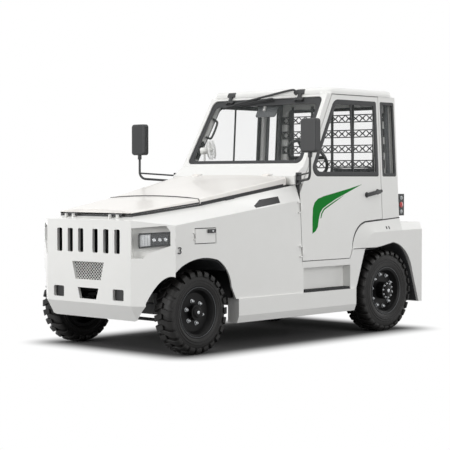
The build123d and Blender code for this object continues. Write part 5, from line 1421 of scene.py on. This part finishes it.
@dataclass
class CabFittings:
    """Windscreen hinges, wiper, visor, roof lining, dash, fan and grab handle, in millimetres."""

    hinge_spots: tuple[float, float] = (-418.0, 374.0)
    dash_z: float = 1394.0
    switch_count: int = 6
    fan_centre: Point3 = (-168.0, -500.0, 1573.0)
    fan_facing: Point3 = (-0.74, 0.62, 0.12)
    fan_radius: float = 85.0
    # Cage hoops as shares of the fan's radius, and their heights
    fan_hoops: tuple[Point2, ...] = ((1, 0), (0.97, 26), (0.72, 34), (0.4, 37), (0.97, -22), (0.7, -30))
    fan_spokes: int = 12
    fan_blades: int = 3
    clip_count: int = 5
    # Depth of the grey plates that paint the posts' shade
    trim_depth: float = 26.0
    post_depth: float = 46.0

    def build(self) -> None:
        """Model and fit every piece of the cab."""
        for number, y in enumerate(self.hinge_spots):
            self.fit_hinge(number, y)
        self.fit_wiper()
        self.fit_overhead()
        self.fit_dash()
        self.fit_fan()
        self.fit_grab()
        self.fit_post_trim()

    @staticmethod
    def fit_hinge(number: int, y: float) -> None:
        """Opening-windscreen hinge: two knobs through the pane, a strap and a roof plate.

        Args:
            number: Hinge number for its name.
            y: Place across the screen.
        """
        pad = Bench.plate(rounded(box_outline((-48, 628), (48, 662)), 14), 11)
        strap = Bench.shift(Bench.plate(rounded(box_outline((-18, 634), (18, 732)), 8), 11), z=14)
        knobs = []
        for x in (-32, 32):
            knob = Bench.lathe([(0, 0), (17, 0), (17, 14), (13, 19), (0, 19)], 24)
            knobs.append(Bench.shift(knob, x, 645, 9))
        root = Bench.plate(rounded(box_outline((-46, 694), (46, 738)), 8), 27)
        made = Bench.join([pad, strap, root, *knobs])
        place = screen(-9) @ Matrix.Translation((y, 0, 0))
        Bench.settle(made, f"screen_hinge_{number}", place, BLACK_PLASTIC, bevel=1.5)

    @staticmethod
    def fit_wiper() -> None:
        """Wiper on the roof's front edge, its blade parked along the screen's head."""
        pivot, elbow, tip = on_screen(322, 712, 12), on_screen(306, 722, 40), on_screen(-330, 611, 24)
        arm = Bench.rod([pivot, on_screen(318, 720, 34), elbow, on_screen(240, 712, 42), tip], 9.5)
        boss = Bench.lathe([(0, -22), (22, -22), (22, 4), (15, 12), (0, 12)], 28)
        Bench.bake_place(boss, screen(12) @ Matrix.Translation((322, 712, 0)))
        boss.data.transform(Matrix.Scale(1 / MM, 4))
        back = Bench.rod([on_screen(-452, 588, 14), on_screen(-186, 631, 20), on_screen(80, 659, 14)], 9)
        claws = []
        for t in (0.12, 0.36, 0.62, 0.88):
            y, up = -452 + 532 * t, 590 + 70 * t
            claws.append(Bench.rod([on_screen(y, up, 16), on_screen(y + 3, up - 3, 2)], 5, smooth=False))
        rubber = Bench.rod([on_screen(-470, 583, -1), on_screen(94, 658, -1)], 5, smooth=False)
        made = Bench.join([arm, boss, back, rubber, *claws])
        Bench.settle(made, "wiper_set", WORLD, BLACK_PLASTIC)
        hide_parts("wiper")

    @staticmethod
    def fit_overhead() -> None:
        """Roof lining, header beam, sun visor and its lamp."""
        lining = Bench.plate(rounded(box_outline((-1232, -596), (-420, 596)), 30), 7)
        Bench.settle(lining, "roof_lining", WORLD @ Matrix.Translation((0, 0, 2022)), LINING_GREY, bevel=2)
        beam = Bench.block((-436, -604, 1960), (-392, 604, 2026))
        Bench.settle(beam, "header_beam", WORLD, GREY_PLASTIC_AND_SHADE, bevel=6)
        visor = Bench.plate(rounded(box_outline((-112, 520), (116, 640)), 22), 9)
        Bench.settle(visor, "sun_visor", screen(-62), GREY_PLASTIC_AND_SHADE, bevel=3)
        rail = Bench.rod([on_screen(-130, 634, -58), on_screen(134, 634, -58)], 6, smooth=False)
        Bench.settle(rail, "visor_rail", WORLD, BLACK_PLASTIC)
        lamp = Bench.rod([on_screen(-32, 622, -48), on_screen(-24, 578, -46)], 12)
        Bench.settle(lamp, "cab_lamp", WORLD, PALE_PLASTIC, slot=Slot.LAMP, bevel=1)

    def fit_dash(self) -> None:
        """Instrument hood before the driver, its display, switches and the dash-top mat."""
        foot = self.dash_z
        shell = Bench.plate([(-92, foot), (-136, 1428), (-246, 1470), (-266, 1462), (-256, foot)], 330)
        Bench.settle(shell, "instrument_hood", side_profile(Side.LEFT, 135), BLACK_PLASTIC, bevel=8)
        display = Bench.plate(rounded(box_outline((-386, 1404), (-214, 1452)), 8), 4)
        Bench.settle(display, "display", facing_back(-258), SMOKED_LENS, bevel=1)
        mat = Bench.plate(rounded(box_outline((-205, -560), (-70, 560)), 24), 4)
        Bench.settle(mat, "dash_mat", WORLD @ Matrix.Translation((0, 0, foot)), SEAL_RUBBER_AND_GAP_SHADE, bevel=1.2)
        switches = []
        for number in range(self.switch_count):
            y = -60 + number * 28
            switches.append(Bench.block((y, 1290, 0), (y + 20, 1322, 7), taper=2))
        Bench.settle(Bench.join(switches), "dash_switches", facing_back(-269.5), BLACK_PLASTIC, bevel=1)

    def fit_fan(self) -> None:
        """Cab fan: wire cage, three blades, motor and foot."""
        r = self.fan_radius
        parts = []
        for share, height in self.fan_hoops:
            turns = [n * math.pi / 8 for n in range(16)]
            hoop = [(r * share * math.cos(a), r * share * math.sin(a), height) for a in turns]
            parts.append(Bench.rod(hoop, 1.8, closed=True))
        for n in range(self.fan_spokes):
            c, s = math.cos(n * 2 * math.pi / self.fan_spokes), math.sin(n * 2 * math.pi / self.fan_spokes)
            spoke = [(12 * c, 12 * s, 38), (r * 0.9 * c, r * 0.9 * s, 32), (r * c, r * s, 0)]
            spoke += [(r * 0.9 * c, r * 0.9 * s, -27), (20 * c, 20 * s, -34)]
            parts.append(Bench.rod(spoke, 1.5))
        parts.append(Bench.lathe([(0, -14), (18, -14), (18, 12), (12, 18), (0, 18)], 24))
        parts.append(Bench.lathe([(0, -30), (24, -30), (30, -40), (30, -84), (22, -96), (0, -96)], 32))
        pitch = Matrix.Rotation(math.radians(18), 4, "X")
        for n in range(self.fan_blades):
            blade = Bench.plate(rounded([(14, -12), (70, -34), (74, 22), (14, 14)], [3, 14, 14, 3]), 2)
            blade.data.transform(Matrix.Rotation(n * 2 * math.pi / self.fan_blades, 4, "Z") @ pitch)
            parts.append(blade)
        Bench.settle(Bench.join(parts), "fan", facing(self.fan_centre, self.fan_facing), PALE_PLASTIC)
        x, y, z = self.fan_centre
        stalk = Bench.rod([(x + 44, y - 36, z - 12), (x + 44, y - 36, 1440), (x + 40, y - 34, 1396)], 9)
        foot = Bench.lathe([(0, 0), (44, 0), (42, 8), (14, 20), (0, 20)], 32)
        Bench.shift(foot, x + 40, y - 34, 1396)
        Bench.settle(Bench.join([stalk, foot]), "fan_stand", WORLD, PALE_PLASTIC)

    def fit_grab(self) -> None:
        """Grab handle and cable clips on the right windscreen pillar."""
        bends = ((-612, 520, -52), (-598, 520, -86), (-588, 505, -104))
        bends += ((-588, 350, -104), (-598, 335, -86), (-612, 335, -52))
        grab = Bench.rod([on_screen(*bend) for bend in bends], 10)
        Bench.settle(grab, "grab_handle", WORLD, BLACK_PLASTIC)
        clips = []
        for number in range(self.clip_count):
            clip = Bench.lathe([(0, 0), (17, 0), (17, 9), (11, 13), (11, 20), (0, 20)], 16)
            spot = (-626 + 4 * (number % 2), 130 + number * 34, -20)
            clip.data.transform(screen(-54) @ Matrix.Translation(spot))
            clips.append(clip)
        bar = Bench.plate(rounded(box_outline((-638, 108), (-614, 290)), 6), 8)
        bar.data.transform(screen(-60))
        Bench.settle(Bench.join([bar, *clips]), "pillar_clips", IN_PLACE, BLACK_PLASTIC, bevel=1)

    def fit_post_trim(self) -> None:
        """Grey plates on the inner faces of the rear cab posts, painted shade where the posts stand in
        shadow, with the door's latch block.
        """
        rows = (
            ((-1064, 1000), (-1044, 2012), self.trim_depth),
            ((-1240, 1000), (-1206, 2012), self.trim_depth),
            ((-1062, 1560), (-1046, 1640), 46),
        )
        for side in Side:
            shade_plates = []
            for low, high, depth in rows:
                trim = Bench.plate(box_outline(*on_side([low, high])), depth)
                shade_plates.append(Bench.shift(trim, z=-self.post_depth - self.trim_depth))
            Bench.settle(Bench.join(shade_plates), f"post_trim_{side.word}", cab_side(side), GREY_PLASTIC_AND_SHADE, bevel=4)


@dataclass
class Seat:
    """Driver's seat: stuffed cushion and backrest with piped edges, in millimetres."""

    cushion: tuple[Point3, Point3] = ((-1120, 60, 1010), (-690, 540, 1120))
    backrest: tuple[Point3, Point3] = ((-1215, 60, 1010), (-1120, 540, 1440))
    trim: float = 12.0
    corner: float = 18.0
    voxel: float = 7.0
    pressure: float = 4.0
    frames: int = 20
    cap: float = 16.0
    channel: float = 105.0
    channel_depth: float = 7.0
    channel_width: float = 13.0
    back_reach: tuple[float, float] = (-1238.0, -1100.0)
    piping_foot: float = 130.0
    piping_radius: float = 4.0

    def build(self) -> None:
        """Stuff both pads and pipe their edges."""
        self.pad("cushion_pad", "seat_cushion", self.cushion, 2)
        self.pad("backrest_pad", "seat_back", self.backrest, 0)

    def pad(self, name: str, node: str, corners: tuple[Point3, Point3], face: int) -> None:
        """Swell one pad from a slightly smaller block and press its sewn channels in.

        Args:
            name: Piece name.
            node: Solid that the pad stands for.
            corners: Lowest and highest corner in millimetres.
            face: Axis that the sat-on face looks along.
        """
        low = [a + self.trim for a in corners[0]]
        high = [b - self.trim for b in corners[1]]
        low[2] = corners[0][2] + 1
        piece = Bench.block(tuple(low), tuple(high))
        Bench.bake_place(piece, WORLD)
        Bench.outward()
        soft = piece.modifiers.new("soft", "BEVEL")
        soft.width = self.corner * MM
        soft.segments = 3
        bpy.ops.object.modifier_apply(modifier=soft.name)
        piece.data.remesh_voxel_size = self.voxel * MM
        bpy.ops.object.voxel_remesh()
        self.swell(piece)
        self.press_channels(piece, corners, face)
        smooth = piece.modifiers.new("smooth", "SUBSURF")
        smooth.levels = 1
        smooth.render_levels = 1
        bpy.ops.object.modifier_apply(modifier=smooth.name)
        Bench.settle(piece, name, IN_PLACE, SEAT_VINYL, slot=Slot.SEAT)
        bpy.ops.object.shade_smooth()
        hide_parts(node)
        self.pipe(name, corners, face)

    def swell(self, piece: bpy.types.Object) -> None:
        """Blow the pad up with cloth pressure, and cap how far each point moves.

        Args:
            piece: Remeshed pad, active in the scene.
        """
        rest = [vertex.co.copy() for vertex in piece.data.vertices]
        cloth = piece.modifiers.new("stuffing", "CLOTH")
        cloth.settings.use_pressure = True
        cloth.settings.uniform_pressure_force = self.pressure
        cloth.settings.effector_weights.gravity = 0
        cloth.point_cache.frame_start = 1
        cloth.point_cache.frame_end = self.frames
        scene = bpy.context.scene
        for number in range(1, self.frames + 1):
            scene.frame_set(number)
        bpy.ops.object.modifier_apply(modifier=cloth.name)
        scene.frame_set(1)
        cap = self.cap * MM
        for vertex, start in zip(piece.data.vertices, rest):
            move = vertex.co - start
            if move.length > cap:
                vertex.co = start + move * (cap / move.length)

    def press_channels(self, piece: bpy.types.Object, corners: tuple[Point3, Point3], face: int) -> None:
        """Press two lengthwise seams into the sat-on face and flatten what rests on the frame.

        Args:
            piece: Swollen pad.
            corners: Lowest and highest corner in millimetres.
            face: Axis that the sat-on face looks along.
        """
        middle = (corners[0][1] + corners[1][1]) / 2 * MM
        centre = (corners[0][face] + corners[1][face]) / 2 * MM
        floor = corners[0][2] * MM
        rear, front = (x * MM for x in self.back_reach)
        for vertex in piece.data.vertices:
            for seam in (-self.channel, self.channel):
                away = (vertex.co.y - middle - seam * MM) / (self.channel_width * MM)
                if vertex.co[face] > centre and abs(away) < 3:
                    vertex.co[face] -= self.channel_depth * MM * math.exp(-away * away)
            vertex.co.z = max(vertex.co.z, floor)
            if face == 0:
                vertex.co.x = min(max(vertex.co.x, rear), front)

    def pipe(self, name: str, corners: tuple[Point3, Point3], face: int) -> None:
        """Piping round the edge of the sat-on face.

        Args:
            name: Name of the pad.
            corners: Lowest and highest corner in millimetres.
            face: Axis that the sat-on face looks along.
        """
        (x0, y0, z0), (x1, y1, z1) = corners
        t = self.trim - self.piping_radius
        y0, y1, x1, z1 = y0 + t, y1 - t, x1 - t, z1 - t
        if face == 2:
            loop = [(x0 + t, y0, z1), (x1, y0, z1), (x1, y1, z1), (x0 + t, y1, z1)]
        else:
            foot = z0 + self.piping_foot
            loop = [(x1, y0, foot), (x1, y0, z1), (x1, y1, z1), (x1, y1, foot)]
        path = []
        for i in range(4):
            here, after = Vector(loop[i]), Vector(loop[(i + 1) % 4])
            path += [tuple(here.lerp(after, k)) for k in (0.06, 0.5, 0.94)]
        piping = Bench.rod(path, self.piping_radius, closed=True)
        Bench.settle(piping, f"{name}_piping", WORLD, SEAT_VINYL, slot=Slot.SEAT)


@dataclass
class Rear:
    """Tail lenses, wheel-arch liners, dark rods painting the shadow of the fender's gaps, and step treads,
    in millimetres.
    """

    lamp_x: tuple[float, float] = (-1368.0, -1280.0)
    lamp_y: float = 706.7
    lamp_z: float = 1093.0
    lamp_inset: float = 45.0
    tail_half: Point2 = (36.0, 25.0)
    liner: float = 5.0
    # Side view points (x, z) along the arches, from front to rear, and along the fender's crown
    rear_arch: tuple[Point2, ...] = (
        (-652, 404), (-724, 598), (-770, 718), (-971, 738), (-1144, 767), (-1190, 763), (-1232, 751),
        (-1272, 731), (-1306, 702), (-1346, 653), (-1384, 592), (-1424, 514), (-1470, 380), (-1517, 243),
    )
    front_arch: tuple[Point2, ...] = (
        (1470, 664), (1400, 694), (1325, 714), (1250, 723), (1170, 722), (1110, 715), (1056, 703),
        (1012, 680), (980, 650), (958, 622),
    )
    crown: tuple[Point2, ...] = (
        (-611, 733), (-618, 782), (-634, 828), (-660, 872), (-696, 909), (-740, 936), (-791, 952),
        (-1036, 967), (-1276, 982),
    )
    tooth_count: int = 31
    tooth_pitch: float = 19.0
    step_z: float = 400.3

    def build(self) -> None:
        """Model and fit every piece at the rear."""
        for side in Side:
            self.fit_lenses(side)
            self.line_arches(side)
            self.fit_welt(side)
            self.fit_step(side)

    def fit_lenses(self, side: Side) -> None:
        """Marker lenses on the lamp's outer face and three square lenses behind.

        Args:
            side: Left or right.
        """
        middle = sum(self.lamp_x) / 2
        y = -side.value * (self.lamp_y - self.lamp_inset)
        wide, high = self.tail_half
        rows = (("upper", WHITE_LENS, 60, 15), ("middle", RED_LENS, 0, 22), ("lower", WHITE_LENS, -60, 15))
        for word, finish, drop, r in rows:
            z = self.lamp_z + drop
            lens = Bench.lathe([(0, 0), (r + 3, 0), (r + 3, 3), (r, 4), (r * 0.6, 8), (0, 9)], 28)
            Bench.shift(lens, middle, z)
            place = side_profile(side, self.lamp_y)
            Bench.settle(lens, f"marker_{word}_{side.word}", place, finish, slot=Slot.LAMP, bevel=0.5)
            glass = Bench.plate(rounded(box_outline((y - wide, z - high), (y + wide, z + high)), 8), 7)
            place = facing_back(self.lamp_x[0])
            Bench.settle(glass, f"tail_{word}_{side.word}", place, finish, slot=Slot.LAMP, bevel=2)

    def line_arches(self, side: Side) -> None:
        """Black liners inside the wheel arches, and the wall inboard of the front wheel.

        Args:
            side: Left or right.
        """
        rows = (("rear", self.rear_arch, 486, 250), ("front", self.front_arch, 352, 374))
        for word, path, inner, width in rows:
            liner = Bench.band(path, self.liner, width)
            name = f"{word}_arch_liner_{side.word}"
            Bench.settle(liner, name, side_profile(side, inner), SEAL_RUBBER_AND_GAP_SHADE, bevel=1)
        wall = Bench.plate([(900, 604), (1640, 604), (1600, 900), (900, 900)], 4)
        place = side_profile(side, 345)
        Bench.settle(wall, f"wheelhouse_wall_{side.word}", place, BLACK_POWDER, slot=Slot.BLACK, bevel=1)

    def fit_welt(self, side: Side) -> None:
        """Dark rods in the gap between the fender's crown and the cab and along the seam at its foot,
        painted shadow of the gaps, and two plugs.

        Args:
            side: Left or right.
        """
        s = side.value
        crown_shade_rod = Bench.rod([(x, s * 720.5, z) for x, z in self.crown], 5, smooth=False)
        seam = Bench.rod([(-612, s * 738.5, 731), (-778, s * 738.5, 731)], 3.2, smooth=False)
        Bench.settle(Bench.join([crown_shade_rod, seam]), f"fender_welt_{side.word}", WORLD, SEAL_RUBBER_AND_GAP_SHADE)
        plugs = []
        for x in (-1062, -1098):
            plugs.append(Bench.plate(rounded([(x - 8, -13), (x + 4, -13), (x + 8, 13), (x - 4, 13)], 3), 2))
        slope, outward = Vector((0, -s * 0.3125, 0.95)), Vector((0, s * 0.95, 0.3125))
        place = basis((0, s * 744.2, 899), X_AXIS, slope, outward)
        Bench.settle(Bench.join(plugs), f"fender_plugs_{side.word}", place, SEAL_RUBBER_AND_GAP_SHADE, bevel=0.5)

    def fit_step(self, side: Side) -> None:
        """Black step tread with raised teeth on the skirt's shelf.

        Args:
            side: Left or right.
        """
        base = Bench.plate(rounded(box_outline((-556, 672), (38, 752)), 6), 6)
        tooth = Bench.block((0, 678, 6), (12, 749, 20), taper=2.5)
        starts = [-549 + number * self.tooth_pitch for number in range(self.tooth_count)]
        teeth = Bench.copies(tooth, [Matrix.Translation((x, 0, 0)) for x in starts])
        place = basis((0, 0, self.step_z), X_AXIS, side.value * Y_AXIS, Z_AXIS)
        Bench.settle(Bench.join([base, teeth]), f"step_tread_{side.word}", place, SEAL_RUBBER_AND_GAP_SHADE, bevel=0.8)


@dataclass
class MirrorDress:
    """Silvered glass, rims and clamps of the mirrors, in millimetres."""

    centre: Point3 = (245.0, 971.0, 1662.0)
    half: Point2 = (70.0, 120.0)
    back: float = 27.5
    clamp_drop: float = 150.0

    def build(self) -> None:
        """Model and fit both mirrors' glass, rim and clamp."""
        x, out, z = self.centre
        place = facing_back(x - self.back)
        for side in Side:
            y = -side.value * out
            corners = box_outline((y - self.half[0], z - self.half[1]), (y + self.half[0], z + self.half[1]))
            glass = Bench.plate(rounded(corners, 24), 1.5)
            name = f"mirror_glass_{side.word}"
            Bench.settle(glass, name, place, MIRROR_CHROME, slot=Slot.GLASS, bevel=0.4)
            rim = Bench.ring(rounded(inset(corners, -8), 28), rounded(inset(corners, -0.3), 24), 4)
            Bench.settle(rim, f"mirror_rim_{side.word}", place, BLACK_PLASTIC, bevel=1)
            clamp = Bench.lathe([(0, -22), (17, -22), (17, 14), (13, 22), (0, 22)], 28)
            Bench.shift(clamp, x, -y, z - self.clamp_drop)
            Bench.settle(clamp, f"mirror_clamp_{side.word}", WORLD, BLACK_PLASTIC, bevel=1)


@dataclass
class Studio:
    """Floor, light and camera, in metres and watts."""

    eye: Point3 = (8.909, 8.178, 1.326)
    yaw: float = math.radians(43.151)
    pitch: float = math.radians(1.875)
    lens: float = 114.46
    sensor: float = 36.0
    floor_size: float = 60.0
    shade: Point2 = (1.34, 0.66)
    fade: float = 0.42
    # Colour of the floor under and near the object: dark grey, a painted shadow
    albedo: float = 0.17
    ambient: float = 0.4
    aim: Point3 = (0.2, 0.0, 0.9)
    # Name, place, size and power of each lamp
    lamps: tuple[tuple[str, Point3, float, float], ...] = (
        ("overhead", (0.6, 0.4, 7.0), 9.0, 238),
        ("front", (8.0, -1.5, 3.0), 4.0, 328),
        ("beside", (0.5, 8.0, 2.4), 4.5, 215),
        ("behind", (-8.0, 1.5, 2.8), 5.0, 115),
        ("far_side", (-0.5, -8.0, 2.8), 5.0, 85),
    )

    def build(self) -> None:
        """Set the stage."""
        self.set_floor()
        self.set_world()
        self.set_lights()
        self.set_camera()

    @staticmethod
    def seen(tree: bpy.types.NodeTree) -> bpy.types.NodeSocket:
        """Tell the rays that look at the backdrop from those that light the object.

        Args:
            tree: Node tree of the floor or the world.

        Returns:
            Socket that is one for camera, glossy and transmission rays.
        """
        rays = add_node(tree, "ShaderNodeLightPath").outputs
        found = rays["Is Camera Ray"]
        for kind in ("Is Glossy Ray", "Is Transmission Ray"):
            either = add_node(tree, "ShaderNodeMath", {0: found, 1: rays[kind]}, operation="MAXIMUM")
            found = either.outputs[0]
        return found

    def set_floor(self) -> None:
        """Floor that shows white round the object, and dark grey under and near it: a painted shadow that
        deepens the cast one.
        """
        Bench.clear()
        bpy.ops.mesh.primitive_plane_add(size=self.floor_size)
        floor = bpy.context.object
        floor.name = "floor"
        made = bpy.data.materials.new("studio_floor")
        made.use_nodes = True
        tree = made.node_tree
        tree.nodes.clear()
        spot = add_node(tree, "ShaderNodeTexCoord").outputs["Object"]
        beyond = add_node(tree, "ShaderNodeVectorMath", {0: spot}, operation="ABSOLUTE")
        beyond = add_node(tree, "ShaderNodeVectorMath", {0: beyond.outputs[0]}, operation="SUBTRACT")
        beyond.inputs[1].default_value = (*self.shade, 0)
        beyond = add_node(tree, "ShaderNodeVectorMath", {0: beyond.outputs[0]}, operation="MAXIMUM")
        beyond = add_node(tree, "ShaderNodeVectorMath", {0: beyond.outputs[0]}, operation="LENGTH")
        away = {"Value": beyond.outputs["Value"]}
        clear = add_node(tree, "ShaderNodeMapRange", away, interpolation_type="SMOOTHSTEP")
        clear.inputs["From Max"].default_value = self.fade
        both = {0: clear.outputs[0], 1: self.seen(tree)}
        white = add_node(tree, "ShaderNodeMath", both, operation="MULTIPLY")
        glow = add_node(tree, "ShaderNodeEmission")
        matt = add_node(tree, "ShaderNodeBsdfDiffuse")
        matt.inputs["Color"].default_value = (self.albedo, self.albedo, self.albedo, 1)
        sides = {0: white.outputs[0], 1: matt.outputs[0], 2: glow.outputs[0]}
        surface = add_node(tree, "ShaderNodeMixShader", sides)
        add_node(tree, "ShaderNodeOutputMaterial", {"Surface": surface.outputs[0]})
        floor.data.materials.append(made)

    def set_world(self) -> None:
        """White surround to the camera and in reflections, soft grey light to the object."""
        world = bpy.data.worlds.new("studio")
        bpy.context.scene.world = world
        world.use_nodes = True
        tree = world.node_tree
        tree.nodes.clear()
        level = add_node(tree, "ShaderNodeMapRange", {"Value": self.seen(tree)})
        level.inputs["To Min"].default_value = self.ambient
        level.inputs["To Max"].default_value = 1.0
        sky = add_node(tree, "ShaderNodeBackground", {"Strength": level.outputs["Result"]})
        sky.inputs["Color"].default_value = (1, 1, 1, 1)
        add_node(tree, "ShaderNodeOutputWorld", {"Surface": sky.outputs[0]})

    def set_lights(self) -> None:
        """Large soft lamps over and round the object."""
        for name, spot, size, power in self.lamps:
            lamp = bpy.data.lights.new(name, "AREA")
            lamp.size = size
            lamp.energy = power
            holder = bpy.data.objects.new(name, lamp)
            holder.location = spot
            look = Vector(self.aim) - Vector(spot)
            holder.rotation_euler = look.to_track_quat("-Z", "Y").to_euler()
            bpy.context.scene.collection.objects.link(holder)

    def set_camera(self) -> None:
        """Camera at the photograph's viewing angle."""
        camera = bpy.data.cameras.new("camera")
        camera.lens = self.lens
        camera.sensor_width = self.sensor
        camera.clip_end = 100
        holder = bpy.data.objects.new("camera", camera)
        holder.location = self.eye
        level = math.cos(self.pitch)
        look = Vector((-math.cos(self.yaw) * level, -math.sin(self.yaw) * level, -math.sin(self.pitch)))
        holder.rotation_euler = look.to_track_quat("-Z", "Y").to_euler()
        bpy.context.scene.collection.objects.link(holder)
        bpy.context.scene.camera = holder


def wheels() -> list[Wheel]:
    """The four wheels with their hardware sizes.

    Returns:
        Front and rear wheel of each side.
    """
    made = []
    for side in Side:
        front = Wheel(
            name=f"front_{side.word}",
            body=f"wheel_front_{side.word}",
            side=side,
            centre=(1245, side.value * 643, 320),
            lip_radius=190,
            lip_out=76,
            nut_count=6,
            nut_circle=86,
            disc_out=28,
            cap_radius=37,
            cap_out=66,
            radius=320,
            wall=85,
            lug_count=24,
        )
        rear = Wheel(
            name=f"rear_{side.word}",
            body=f"wheel_rear_{side.word}",
            side=side,
            centre=(-1085, side.value * 626, 353),
            lip_radius=202,
            lip_out=98,
            nut_count=10,
            nut_circle=140,
            disc_out=44,
            cap_radius=44,
            cap_out=112,
            radius=353,
            wall=106,
            lug_count=28,
            lug_depth=14,
            lug_reach=42,
            hub_bolts=10,
            hub_bolt_circle=62,
        )
        made += [front, rear]
    return made


def dress_nodes(nodes: dict[str, bpy.types.Object]) -> None:
    """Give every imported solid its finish.

    Args:
        nodes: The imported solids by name.
    """
    for finish, names in NODE_FINISHES.items():
        for name in names:
            nodes[name].data.materials.clear()
            nodes[name].data.materials.append(finish.material())


def main() -> None:
    """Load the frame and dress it."""
    logging.basicConfig(level=logging.INFO, format="%(message)s")
    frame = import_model()
    bpy.context.scene.view_settings.view_transform = "Standard"
    dress_nodes(frame["nodes"])
    doors = [DoorDress(side) for side in Side]
    assemblies = [Studio(), *wheels(), Seals(), *doors, Nose(), CabFittings(), Seat(), Rear(), MirrorDress()]
    for assembly in assemblies:
        assembly.build()


if __name__ == "__main__":
    main()
